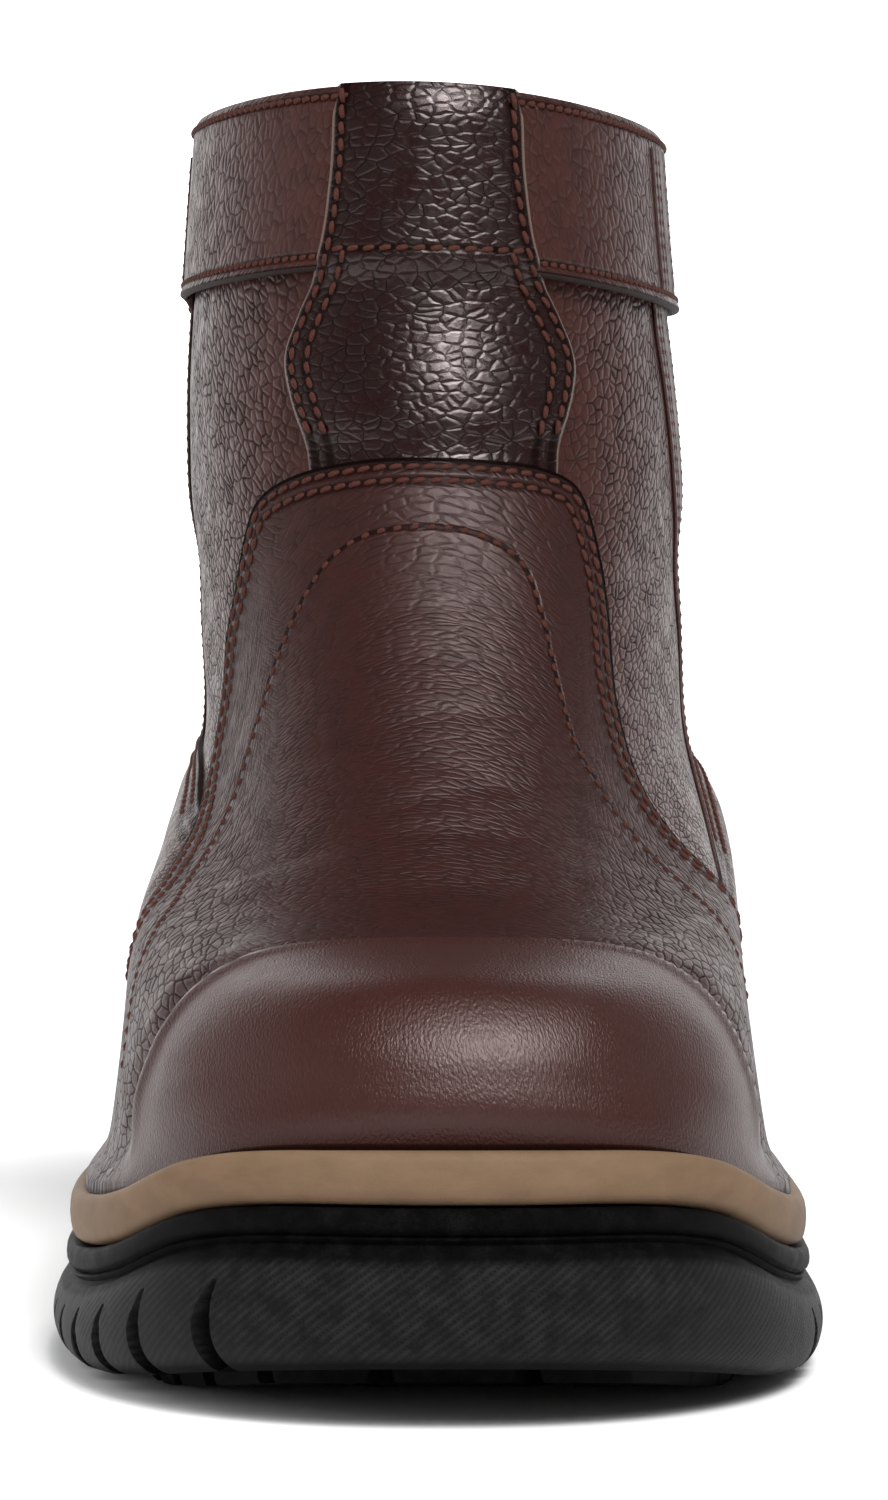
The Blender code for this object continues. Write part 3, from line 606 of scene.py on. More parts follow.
def wing_turn(level, side):
    """Degrees from the front to the vamp's rear edge at a level, on the inner or outer side."""
    rows = sorted((row for row in VAMP_EDGE if row[0] * side >= 0), key=lambda row: row[1])
    return np.abs(np.interp(level, [row[1] for row in rows], [row[0] for row in rows]))


def counter_out(turn, level, seam):
    """How far the counter stands out: it is skived thin at its top edge and full below the inner ankle."""
    fullness = INNER_FULLNESS * ease(seam, 0, 8) * ease(np.degrees(turn), 140, 110) * ease(level, 1, 4)
    return OVERLAY_GAP + OVERLAY - COUNTER_SKIVE * ease(seam, SKIVE_WIDTH, 0) + fullness


def counter_sheet(across, up):
    up = 1 - (1 - up) ** 1.5
    turn, level = counter_edge(across)
    level = level * up
    inner = turn < math.pi
    behind_wing = np.degrees(np.where(inner, turn, 2 * math.pi - turn))
    behind_wing = behind_wing - np.where(inner, wing_turn(level, 1), wing_turn(level, -1))
    seam = -off_line(wall_point(turn, level, 0.0), *wall_line(counter_turn, counter_level, 0.0))
    points = wall_point(turn, level, counter_out(turn, level, seam) - WING_TUCK * ease(behind_wing, 5, 1))
    points[up == 0, 2] = midsole_top(points[up == 0, 1]) + 0.1
    foot = points[:, 2] - midsole_top(points[:, 1])
    return points, {"grain": 0.55 + 0.35 * ease(points[:, 2], 50, 80), "seam": seam, "foot": foot}


# Counter hide: stretched over the stiffener, so its cells are small, with a line of painted shade where it
# meets the sole
COUNTER_LAYERS = (("grain", "lay", (2.0, 1.8), 0.35, 0.1, 1.0),)
counter_leather = leather("counter_leather", "#3b1f1b", "#321814", COUNTER_LAYERS, 0.2, 0.26, edge_width=0.8,
                          rows=[("seam", row, 1.3) for row in COUNTER_ROWS] + [("foot", 0.0, 1.0)])
counter = add_panel("heel_counter_leather", *COUNTER_GRID, counter_sheet)
thicken(counter, OVERLAY, 0.45, counter_leather, wall_edge)
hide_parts("heel_counter")
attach(counter, "root")


# Front stay: the darker strip of coarse pebbled hide down the middle of the front, wide above the
# vamp and narrow at the collar. It lies over the band's ends, and its lower end goes under the vamp.
# Height on the front line and half width
STAY = (
    (131.0, 20.0), (139.0, 20.6), (144.0, 21.7), (151.0, 22.6),
    (158.0, 20.6), (166.0, 17.2), (180.0, 14.8), (196.0, 14.2),
)
STAY_GRID = (96, 90)
STAY_THICK = 1.5
STAY_ROWS = (1.9, 4.5)
CROSS_ROW = 168.5
PALE_EDGE = "#6b5a52"
stay_half = smooth(*zip(*STAY))


def stay_place(share, z):
    """Turn and level of the stay at a share of its half width and a height on the front line."""
    level = level_for(np.zeros(np.shape(z)), z)
    turns = np.linspace(0.0, 1.2, 200)
    widths = ring_point(turns[None, :], level[:, None])
    reach = np.array([np.interp(h, line[:, 0] - line[0, 0], turns) for h, line in zip(stay_half(z), widths)])
    return reach * share, level


def stay_out(z):
    """How far the stay stands out: it bulges over the instep and steps up over the band."""
    return 1.75 + 1.0 * bulge(z - 146, 8) + 1.3 * ease(z, 162.0, 168.0)


def stay_sheet(across, up):
    z = STAY[0][0] + (STAY[-1][0] - STAY[0][0]) * up
    share = across * 2 - 1
    turn, level = stay_place(share, z)
    seam = (1 - np.abs(share)) * stay_half(z)
    tucked = ease(z, 141, 135)
    rolled_in = np.clip((z - 188.5) / 7.5, 0, 1) ** 2
    out = stay_out(z) - 1.0 * tucked - 0.8 * ease(seam, 1.0, 0.0) - 1.6 * rolled_in
    return wall_point(turn, level, out), {
        "grain": np.full(len(turn), 1.0),
        "seam": seam,
        "low_row": np.where(z < CROSS_ROW, seam, 50.0),
        "cross_row": z - CROSS_ROW,
    }


# Stay hide: dyed nearly black and waxed, with wide flat cells that each catch the light
STAY_LAYERS = (("grain", "lay", (2.8, 1.7), 0.3, 0.09, 1.0),)
# Stitch channels and the cross row are painted with shade
STAY_SHADED_ROWS = (("seam", STAY_ROWS[0], 1.2), ("low_row", STAY_ROWS[1], 1.2), ("cross_row", 0.0, 1.0))
stay_leather = leather("stay_leather", "#1c0a09", "#150706", STAY_LAYERS, 0.1, 0.1,
                       rows=STAY_SHADED_ROWS, edge_width=0.9, edge=PALE_EDGE)
stay = add_panel("front_stay_leather", *STAY_GRID, stay_sheet)
thicken(stay, STAY_THICK, 0.3, stay_leather, cut_edge("stay_edge", PALE_EDGE))
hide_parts("front_stay")
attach(stay, "root")


# Collar band: a folded strip of hide round the top of the shaft, sewn along its upper and lower edges.
# Its lower edge stands proud of the shaft, and its ends run under the front stay.
BAND_GRID = (210, 24)
BAND_START = math.radians(16.0)
BAND_TOP_GAP = 0.2


def band_place(across, below):
    """Turn and level on the band at a share round the collar and a distance below its top edge."""
    turn = BAND_START + (2 * math.pi - 2 * BAND_START) * across
    return turn, level_for(turn, ring_point(turn, TOP_LEVEL)[:, 2] - below)


def band_sheet(across, up):
    below = BAND_HEIGHT * (1 - up) + BAND_TOP_GAP
    turn, level = band_place(across, below)
    roll = 0.7 * bulge(BAND_HEIGHT - below, 1.1)
    points = wall_point(turn, level, OVERLAY_GAP + OVERLAY + roll - 0.7 * ease(below, 2.0, 0.0))
    beside_stay = bulge(np.degrees(np.arccos(np.cos(turn))) - 32, 18)
    seam = np.minimum(below, BAND_HEIGHT + BAND_TOP_GAP - below)
    return points, {"grain": 0.95 - 0.5 * beside_stay, "seam": seam}


# Band hide: pulled round the collar, so its cells stand tall and narrow, and are smoothest beside the stay
BAND_LAYERS = (("grain", "lay", (1.7, 2.8), 0.35, 0.1, 1.0),)
band_leather = leather("band_leather", "#3a1e1a", "#311714", BAND_LAYERS, 0.24, 0.24, shine=0.36,
                       rows=(("seam", 2.1, 1.0),), edge_width=0.7)
band = add_panel("collar_band_leather", *BAND_GRID, band_sheet)
thicken(band, OVERLAY, 0.6, band_leather, wall_edge)
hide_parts("collar_band")
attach(band, "root")


# Vamp: the large front piece over toe and instep, with a U-shaped top edge sewn down by two rows and
# wings that run back to the sole. Hide lies tight over a steel toe cap, whose rear rim shows as a ridge.
VAMP_GRID = (200, 190)
VAMP_ROWS = (1.6, 4.1)
CAP_D, CAP_LEAN, CAP_TOP = 48.0, 0.08, 62.0     # the cap's rear rim: place on top, lean, and height
ARCH, ARCH_HALF = 0.035, 22.0                   # rise of the bending creases, per mm squared from the middle
SIDE_APART = 500.0                              # keeps the grain of the two flanks from being a mirror image
VAMP_DENTS = (
    (0, 7.3, 18, 5.0, 0, -0.5), (32, 7.2, 13, 7.0, -30, 0.45), (-32, 7.1, 13, 7.0, 30, 0.45),
    (0, 8.1, 24, 1.9, 0, -0.3), (8, 8.55, 22, 1.8, 5, -0.28), (-10, 8.9, 20, 1.9, -6, -0.28),
    (5, 9.3, 20, 1.8, 3, -0.25), (-4, 9.8, 18, 1.9, -3, -0.22), (3, 10.25, 16, 1.7, 2, -0.18),
)
# Single stitch row inside the edge: turn and level
INNER_ROW = (
    (-55.5, 2.2), (-54.2, 3.9), (-53.4, 4.7), (-53.8, 5.4), (-55.6, 6.1), (-57.0, 6.85), (-55.2, 7.65),
    (-50.7, 8.45), (-46.0, 9.0), (-40.3, 9.55), (-31.5, 10.2), (-23.0, 10.65), (-13.0, 10.88), (0.0, 10.93),
    (10.0, 10.85), (19.0, 10.6), (23.5, 10.15), (28.0, 9.45), (32.5, 8.85), (38.5, 8.3), (44.5, 7.68),
    (49.0, 7.05), (51.8, 6.4), (53.6, 5.8), (54.6, 5.16), (55.8, 4.6), (58.0, 3.4),
)


def line_through(table, count):
    """Columns of a table of places on the wall, at even steps along it."""
    at = np.linspace(0.0, len(table) - 1, count)
    return [smooth(range(len(table)), column)(at) for column in zip(*table)]


def run_along(points):
    """Distance along a line at each of its points."""
    return np.concatenate([[0.0], np.cumsum(np.linalg.norm(np.diff(points, axis=0), axis=1))])


edge_turn, edge_level, edge_low = line_through(VAMP_EDGE, 600)
edge_share = run_along(ring_point(np.radians(edge_turn), edge_level))
edge_share = edge_share + run_along(ring_point(np.radians(edge_low), 0.0))
edge_share = edge_share / edge_share[-1]


def vamp_place(across, up):
    """Turn and level on the vamp for shares across it, from the outer wing to the inner one, and up it."""
    columns = (edge_low, edge_turn, edge_level)
    low_turn, top_turn, top_level = [np.interp(across, edge_share, column) for column in columns]
    return np.radians(low_turn + (top_turn - low_turn) * up), top_level * up


def behind_cap(points):
    """Distance behind the toe cap's rear rim."""
    return points[..., 1] - CAP_D - CAP_LEAN * (CAP_TOP - points[..., 2])


def vamp_out(points):
    """How far the vamp's face stands out: over the cap, down behind its rim, with creases where it bends."""
    behind = behind_cap(points)
    high = ease(points[..., 2] - midsole_top(points[..., 1]), 3, 14)
    cap = 1.1 * ease(behind, 3.0, -2.0) + 0.75 * bulge(behind + 1.2, 1.7) - 1.2 * bulge(behind - 6.0, 4.5)
    return OVERLAY_GAP + OVERLAY + high * cap + dents(points, VAMP_DENTS)


def vamp_line(turn, level):
    return wall_line(turn, level, vamp_out(ring_point(turn, level)))


inner_turn, inner_level = line_through(INNER_ROW, 300)
inner_line, inner_facing = vamp_line(np.radians(inner_turn), inner_level)


def vamp_sheet(across, up):
    up = 1 - (1 - up) ** 1.12
    turn, level = vamp_place(across, up)
    bare = ring_point(turn, level)
    x, d, z = bare.T
    points = wall_point(turn, level, vamp_out(bare))
    points[up == 0, 2] = midsole_top(points[up == 0, 1]) + 0.1
    foot = points[:, 2] - midsole_top(points[:, 1])
    behind = behind_cap(bare)
    toe = ease(behind, 4, -4)
    at_side = ease(np.abs(x), 20, 34)
    flex = ease(behind, 18 - 17 * at_side, 34 - 28 * at_side) * ease(z, 122, 104)
    levels = np.linspace(0.0, TOP_LEVEL, 400)
    front = ring_point(0.0, levels)
    lay = lay_of(points, *VAMP_GRID)
    lay[:, 1] = np.interp(level, levels, run_along(front)) * MM
    lay[:, 1] += ARCH * MM * np.minimum(np.abs(x), ARCH_HALF) ** 2
    down = np.abs(x) + np.interp(d, front[:, 1], front[:, 2]) - z
    side_lay = np.column_stack([d + np.where(x > 0, SIDE_APART, 0.0), down, np.zeros(len(d))]) * MM
    return points, {
        "grain": 0.42 * (1 - toe) * (1 - flex),
        "flex": 0.45 * flex * (1 - at_side),
        "flank": flex * at_side,
        "toe": 0.45 * toe,
        "polish": np.maximum(0.6 * toe, flex * at_side) * ease(foot, 1, 10),
        "foot": foot,
        "seam": -off_line(points, *vamp_line(np.radians(edge_turn), edge_level)),
        "inner_row": off_line(points, inner_line, inner_facing),
        "lay": lay,
        "side_lay": side_lay,
    }


# Vamp hide: fine long cells on the instep, bent into thin wrinkles above the cap, coarser and shinier on
# the flanks. Over the steel cap they are stretched away, and rubbing has left it smooth, redder and burnished
VAMP_LAYERS = (
    ("grain", "lay", (3.8, 1.6), 0.22, 0.07, 1.0),
    ("flex", "lay", (3.6, 1.1), 0.28, 0.11, 0.8),
    ("flank", "side_lay", (3.5, 1.9), 0.25, 0.12, 0.9),
)
# Stitch channels, the inner row and the line where the vamp meets the sole are painted with shade
VAMP_SHADED_ROWS = [("seam", row, 1.3) for row in VAMP_ROWS] + [("inner_row", 0.0, 0.8), ("foot", 0.0, 1.0)]
vamp_leather = leather("vamp_leather", "#2d1411", "#260f0c", VAMP_LAYERS, 0.2, 0.3, shine=0.37,
                       rows=VAMP_SHADED_ROWS, edge_width=1.1, worn="#3d1a14")
vamp = add_panel("vamp_leather_sheet", *VAMP_GRID, vamp_sheet, closed=True)
thicken(vamp, OVERLAY, 0.0, vamp_leather, wall_edge)
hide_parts("vamp")
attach(vamp, "root")


# Threads: bonded reddish-brown polyester, lockstitched at nearly four stitches to the centimetre, and at
# five on band and strips. Each stitch is a short bowed length of thread that dips into its two holes.
LONG_STITCH, SHORT_STITCH = 2.7, 2.0
THREAD_WIDTH, THREAD_HEIGHT = 1.05, 0.8
THREAD_SLANT = math.radians(9)
THREAD_DIP = 0.5


def add_mesh(name, points, faces, material, sharp=None):
    """Smooth mesh of points in millimetres, with edges left sharp beyond an angle in degrees."""
    mesh = bpy.data.meshes.new(name)
    mesh.from_pydata(in_frame(points).tolist(), [], faces)
    mesh.materials.append(material)
    mesh.shade_smooth()
    if sharp:
        mesh.set_sharp_from_angle(angle=math.radians(sharp))
    obj = bpy.data.objects.new(name, mesh)
    bpy.context.scene.collection.objects.link(obj)
    return obj


def even_places(points, pitch):
    """Places at even steps of about a pitch along a line of points."""
    run = run_along(points)
    at = np.linspace(0.0, run[-1], max(int(run[-1] / pitch), 2) + 1)
    return np.column_stack([np.interp(at, run, points[:, i]) for i in range(3)])


def sew(name, lines, stitch, reach, lift=0.05):
    """Joins a stitch for each step along the lines. A line is points in millimetres and their normals."""
    bpy.ops.object.select_all(action="DESELECT")
    bpy.ops.mesh.primitive_uv_sphere_add(segments=8, ring_count=6, radius=1.0)
    pattern = bpy.context.object
    shape = np.array([v.co for v in pattern.data.vertices])
    faces = [list(p.vertices) for p in pattern.data.polygons]
    bpy.data.objects.remove(pattern)
    width, height, length = shape.T
    blunt = np.sign(length) * np.abs(length) ** 0.8
    rise = THREAD_HEIGHT / 2 * height + lift - THREAD_DIP * np.abs(blunt) ** 3
    points, all_faces = [], []
    for line, normals in lines:
        nearest = nearest_on(line)
        places = even_places(line, stitch)
        for start, end in zip(places, places[1:]):
            middle = (start + end) / 2
            out = normals[nearest.find(middle)[1]]
            way = (end - start) / np.linalg.norm(end - start)
            side = np.cross(out, way)
            side = side / np.linalg.norm(side)
            along = math.cos(THREAD_SLANT) * way + math.sin(THREAD_SLANT) * side
            across = math.cos(THREAD_SLANT) * side - math.sin(THREAD_SLANT) * way
            body = middle + np.outer(blunt * stitch * reach, along)
            body = body + np.outer(width * THREAD_WIDTH / 2, across)
            all_faces += [[v + len(points) * len(shape) for v in face] for face in faces]
            points.append(body + np.outer(rise, out))
    obj = add_mesh(name, np.concatenate(points), all_faces, thread)
    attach(obj, "root")


def part_of(values, start, end):
    return values[int(start * len(values)):int(end * len(values))]


# Bonded polyester thread: twisted plies in two browns with a faint gloss, lighter than the leather
thread, add, shader = new_material("sewing_thread", Roughness=0.6, Specular_IOR_Level=0.25)
ply = add("TexNoise", {"Vector": add("TexCoord", output="Object"), "Scale": repeats(0.182), "Detail": 2.0})
two_tone(add, shader, ply, "#1f0c08", "#572719", ply, 0.2)

vamp_lines = []
for inset in VAMP_ROWS:
    row = moved_in(np.radians(edge_turn), edge_level, inset)
    vamp_lines.append(vamp_line(*[part_of(places, 0.05, 0.95) for places in row]))
sew("threads_vamp", vamp_lines, LONG_STITCH, 0.5)
sew("threads_inner_row", [(inner_line, inner_facing)], LONG_STITCH, 0.36, lift=-0.04)

counter_lines = []
for inset in COUNTER_ROWS:
    row = [part_of(places, 0.08, 0.92) for places in moved_in(counter_turn, counter_level, inset)]
    counter_lines.append(wall_line(*row, counter_out(*row, inset)))
sew("threads_counter", counter_lines, LONG_STITCH, 0.5)

stay_lines = []
for side in (-1, 1):
    for inset, high in zip(STAY_ROWS, (195.0, CROSS_ROW)):
        z = np.linspace(138.0, high, 60)
        place = stay_place(side * (1 - inset / stay_half(z)), z)
        stay_lines.append(wall_line(*place, stay_out(z)))
place = stay_place(np.linspace(-0.86, 0.86, 40), np.full(40, CROSS_ROW))
stay_lines.append(wall_line(*place, 3.0))
sew("threads_stay", stay_lines, LONG_STITCH, 0.5)

band_lines = []
for below in (2.3, BAND_HEIGHT - 1.7):
    place = band_place(np.linspace(0.005, 0.995, 300), below)
    band_lines.append(wall_line(*place, OVERLAY_GAP + OVERLAY + 0.1))
sew("threads_band", band_lines, SHORT_STITCH, 0.45)

strip_lines = []
for side in (-1, 1):
    for inset in (*STRIP_ROWS, STRIP_WIDTH - STRIP_ROWS[0]):
        z = np.linspace(66.0, 186.5, 140)
        strip_lines.append(wall_line(*strip_place(z, inset, side), strip_out(z) - 0.25))
sew("threads_side_strips", strip_lines, SHORT_STITCH, 0.45)


# Insole: a foam footbed with a dark cloth top, cut to the inside of the upper and laid on the midsole.
# It is of one thickness, with its top edge rounded off all round.
INSOLE_RINGS = ((0.0, 0.3), (0.3, 1.6), (0.7, 3.4), (1.4, 4.2), (2.4, 4.5), (6.0, 4.5))     # inset, height
INSOLE_CLEAR = 1.5


def rung_faces(ring, flip):
    """Faces that close a ring with rungs from one side of the foot to the other."""
    n = len(ring)
    faces = [(ring[0], ring[1], ring[n - 1])]
    faces += [(ring[i], ring[i + 1], ring[n - i - 1], ring[n - i]) for i in range(1, n // 2 - 1)]
    faces.append((ring[n // 2 - 1], ring[n // 2], ring[n // 2 + 1]))
    return [face[::-1] for face in faces] if flip else faces


def even_turns(count):
    """Turns from toe to heel at even distances along the outline of the sole, and its length."""
    fine = np.linspace(0.0, math.pi, 4000)
    run = run_along(outline_point(fine, SOLE_OUT))
    return np.interp(np.linspace(0.0, run[-1], count), run, fine), run[-1]


def both_sides(half):
    """Values from toe to heel, followed by those of the other side back to the toe."""
    return np.concatenate([half, half[-2:0:-1]])


def whole_turn(half):
    return np.concatenate([half, 2 * math.pi - half[-2:0:-1]])


def ring_faces(rings):
    """Numbers of each ring's points, and the faces that join the rings from bottom to top."""
    n = len(rings[0])
    numbers = [range(i * n, (i + 1) * n) for i in range(len(rings))]
    faces = []
    for low, high in zip(numbers, numbers[1:]):
        faces += [(low[i], low[(i + 1) % n], high[(i + 1) % n], high[i]) for i in range(n)]
    return numbers, faces


def add_loft(name, rings, material):
    """Joins closed rings of points from bottom to top into one mesh."""
    numbers, faces = ring_faces(rings)
    faces += rung_faces(numbers[0], True) + rung_faces(numbers[-1], False)
    return add_mesh(name, np.concatenate(rings), faces, material, 55)


def sole_ring(turns, out, height):
    plan = outline_point(turns, np.broadcast_to(out, len(turns)))
    return np.column_stack([plan, height(plan[:, 1])])


def wave_scale(pitch):
    """Scale of Blender's wave pattern for a pitch in millimetres."""
    return 2 * math.pi / 20 / (pitch * MM)


# Woven cloth: dark yarns in a fine slanted twill, quite matt
insole_cloth, add, shader = new_material("insole_cloth", Roughness=0.92, Sheen_Weight=0.35)
place = add("TexCoord", output="Object")
weave = add("TexWave", {"Vector": place, "Scale": wave_scale(0.7), "Distortion": 0.6}, "Fac",
            bands_direction="DIAGONAL")
two_tone(add, shader, weave, "#1b1918", "#38332f", weave, 0.3)
insole_turns = whole_turn(even_turns(160)[0])
insole = add_loft("insole_footbed", [
    sole_ring(insole_turns, -WALL - INSOLE_CLEAR - inset, lambda d, u=up: midsole_top(d) + u)
    for inset, up in INSOLE_RINGS
], insole_cloth)
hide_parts("insole")
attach(insole, "root")


# Midsole: a band of tan foamed rubber between upper and outsole, moulded with a rounded side.
# It is level round the toe, steps down to the ball, and rises to the heel.
MIDSOLE_HEIGHT = 7.4
# How far the side stands out, and the share of the height
MIDSOLE_SIDE = (
    (4.6, 0.0), (5.3, 0.03), (5.9, 0.09), (6.2, 0.18), (6.4, 0.32), (6.5, 0.5), (6.45, 0.66),
    (6.3, 0.8), (6.0, 0.9), (5.5, 0.97), (4.7, 1.0), (1.0, 1.0),
)
# Foamed rubber with a moulded skin: even tan with faint smears, and a soft satin without clear highlights
tan_foam, add, shader = new_material("tan_foam", Roughness=0.6, Specular_IOR_Level=0.1)
place = add("TexCoord", output="Object")
smear_place = add("Mapping", {"Vector": place, "Scale": (repeats(8.0), repeats(8.0), repeats(3.33))})
smear = add("TexNoise", {"Vector": smear_place, "Scale": 1.0, "Detail": 5.0, "Roughness": 0.6})
smear_tone = add("MapRange", {"Value": smear, "From Min": 0.35, "From Max": 0.7})
skin = add("TexNoise", {"Vector": place, "Scale": repeats(0.143), "Detail": 2.0})
skin = add("Math", {0: smear, 1: 0.6, 2: skin}, operation="MULTIPLY_ADD")
two_tone(add, shader, smear_tone, "#675340", "#735c48", skin, 0.1, 0.6)
midsole_turns = whole_turn(even_turns(340)[0])
midsole = add_loft("midsole_band", [
    sole_ring(midsole_turns, out, lambda d, b=MIDSOLE_HEIGHT * (1 - share): midsole_top(d) - b)
    for out, share in MIDSOLE_SIDE
], tan_foam)
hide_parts("midsole")
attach(midsole, "root")


# Outsole: black rubber moulded in one piece, with a rim under the midsole, a bulging toe bumper with
# fine slanted ribs, crescent grooves along the sides, lugs underneath, an arch and a heel.
TREAD_D = (0, 15, 30, 44, 55, 142, 156, 172, 203, 211, 214.5, 216, 294, 306)
TREAD_Z = (7.6, 5.2, 2.6, 0.8, 0.0, 0.0, 4.5, 8.6, 8.8, 8.2, 0.4, 0.0, 0.0, 1.6)
TREAD_DEPTH = 3.6
EDGE_LIFT = 1.6
# How far the side stands out, with the share of the bumper's height, and above it the distance below the top
BUMPER = (
    (5.2, 0.0), (6.4, 0.035), (7.3, 0.09), (7.7, 0.125), (8.0, 0.16), (8.3, 0.21), (8.5, 0.26), (8.68, 0.32),
    (8.8, 0.38), (8.87, 0.44), (8.9, 0.5), (8.87, 0.56), (8.8, 0.62), (8.7, 0.67), (8.5, 0.74), (8.1, 0.84),
    (7.6, 0.92), (7.1, 0.97),
)
RIM = (
    (6.2, 5.3), (5.9, 4.9), (6.2, 4.6), (6.5, 4.3), (6.2, 4.0), (5.8, 3.8), (6.2, 3.5), (6.7, 3.2),
    (6.95, 2.6), (7.0, 1.9), (6.9, 1.1), (6.6, 0.5), (6.0, 0.1), (5.2, 0.0),
)
RIM_LOW = 5.5
RIM_GAP = 0.3
GROOVE_DEPTH, GROOVE_HALF, GROOVE_WALL, GROOVE_BOW = 3.2, 1.5, 0.8, 5.5
FIRST_GROOVE_D, GROOVE_PITCH, FORE_GROOVES = 20.0, 11.6, 11
HEEL_GROOVE_D = (231.0, 248.0, 265.0)
INNER_SMOOTH_D, CHANNEL_FROM_D = 52.0, 48.0
LUG_EDGES, LUG_WALL = (0.29, 0.40, 0.84), 0.012         # shares of the half width
LUG_START_D = 13.0
SOLE_COLUMNS = 520
RIB_SETS = ((-37, 1.05, 1.0), (40, 0.62, 0.5))          # slant in degrees, pitch, height


def tread(d):
    return np.interp(d, TREAD_D, TREAD_Z)


def outsole_top(d):
    return midsole_top(d) - MIDSOLE_HEIGHT - RIM_GAP


# Columns round the sole stand closer together at the grooves
fine_turns, half_length = even_turns(4000)
fine_run = np.linspace(0.0, half_length, len(fine_turns))
groove_d = np.array([FIRST_GROOVE_D + GROOVE_PITCH * i for i in range(FORE_GROOVES)] + list(HEEL_GROOVE_D))
groove_run = np.interp(groove_d, ring_point(fine_turns, 0.0)[:, 1], fine_run)
crowding = 1 + 2.2 * ease(np.abs(fine_run[:, None] - groove_run).min(axis=1), 3.4, 2.2)
crowding = np.cumsum(crowding) - crowding[0]
run = np.interp(np.linspace(0.0, crowding[-1], SOLE_COLUMNS), crowding, fine_run)
sole_turns = whole_turn(np.interp(run, fine_run, fine_turns))
inner_side = np.sin(sole_turns) > 0


def groove_bow(share):
    """How far the side's columns bend towards the toe at a share of the bumper's height."""
    ends = ease(run, 0, 14) * ease(run, half_length, half_length - 14)
    return GROOVE_BOW * (1.8 * share - 0.6) ** 2 * ends


def bowed_turns(share):
    return whole_turn(np.interp(run - groove_bow(share), fine_run, fine_turns))


def groove_cut(share):
    """Depth of the crescent grooves round the outsole at a share of the bumper's height."""
    half = GROOVE_HALF * (1 - 0.8 * ease(share, 0.35, 0.72))
    away = np.abs(both_sides(run)[:, None] - groove_run[None, :])
    cut = 1 - ease(away, half - GROOVE_WALL / 2, half + GROOVE_WALL / 2)
    plain = inner_side[:, None] & (groove_d[None, :] < INNER_SMOOTH_D)
    return GROOVE_DEPTH * np.where(plain, 0.0, cut).max(axis=1) * ease(share, 0.74, 0.62)


def bumper_height(d, share):
    low = tread(d) + EDGE_LIFT
    return low + (outsole_top(d) - RIM_LOW - low) * share


def lug_height(share, d, channel):
    """1 on a lug and 0 in a channel, for a share across the tread from the outer edge to the inner one."""
    reach = np.abs(share)
    past = [ease(reach, edge - LUG_WALL, edge + LUG_WALL) for edge in LUG_EDGES]
    lugs = np.maximum(1 - past[0], past[1] * (1 - past[2]))
    return lugs * (1 - channel) * ease(d, LUG_START_D - 0.6, LUG_START_D + 0.6)


def add_tread(rings):
    """Points and faces of the underside: rows of lugs from the outer edge to the inner edge."""
    edge = rings[0]
    count = len(edge)
    walls = [side * e + w for e in LUG_EDGES for side in (-1, 1) for w in (-0.014, -0.005, 0.005, 0.014)]
    across = np.unique(np.concatenate([np.linspace(-1, 1, 21)[1:-1], walls]))
    start = count * len(rings)
    points, rows = [], []
    for i in range(1, count // 2):
        inside, outside = edge[i], edge[count - i]
        row = outside + (inside - outside) * ((across + 1) / 2)[:, None]
        d = row[:, 1]
        near = np.abs(run[i] - groove_run).min()
        channel = (1 - ease(near, GROOVE_HALF - 0.35, GROOVE_HALF + 0.35)) * (d > CHANNEL_FROM_D)
        row[:, 2] = tread(d) + (1 - lug_height(across, d, channel)) * TREAD_DEPTH
        rows.append([count - i] + [start + len(points) + j for j in range(len(across))] + [i])
        points += row.tolist()
    faces = []
    for first, second in zip(rows, rows[1:]):
        faces += [(a, d, c, b) for a, b, c, d in zip(first, first[1:], second[1:], second)]
    faces += [(0, a, b) for a, b in zip(rows[0], rows[0][1:])]
    faces += [(count // 2, b, a) for a, b in zip(rows[-1], rows[-1][1:])]
    return points, faces


# Carbon-black rubber: nearly black and matt, greyed by dust, with its rib crests painted lighter as a painted
# highlight; the ribs are rubbed away in places
black_rubber, add, shader = new_material("black_rubber")
lay = add("Attribute", output="Vector", attribute_name="lay")
place = add("TexCoord", output="Object")
rib_zone = add("Attribute", output="Fac", attribute_name="ribbed")
ribs = 0.0
for slant, pitch, height in RIB_SETS:
    rib_lay = add("Mapping", {"Vector": lay, "Rotation": (0, 0, math.radians(slant))})
    wave = add("TexWave", {"Vector": rib_lay, "Scale": wave_scale(pitch)}, "Fac", bands_direction="Y")
    wave = add("Math", {0: wave, 1: height}, operation="MULTIPLY")
    ribs = add("Math", {0: ribs, 1: wave}, operation="MAXIMUM")
dust = add("TexNoise", {"Vector": place, "Scale": repeats(3.33), "Detail": 8.0, "Roughness": 0.7})
rubbed_off = add("MapRange", {"Value": dust, "From Min": 0.35, "From Max": 0.6,
                              "To Min": 0.25, "To Max": 1.0})
for share in (rib_zone, rubbed_off):
    ribs = add("Math", {0: ribs, 1: share}, operation="MULTIPLY")
grit = add("TexNoise", {"Vector": place, "Scale": repeats(0.133), "Detail": 3.0})
relief = add("Math", {0: grit, 1: ribs})
dust_and_rib_highlight = add("Math", {0: dust, 1: grit})
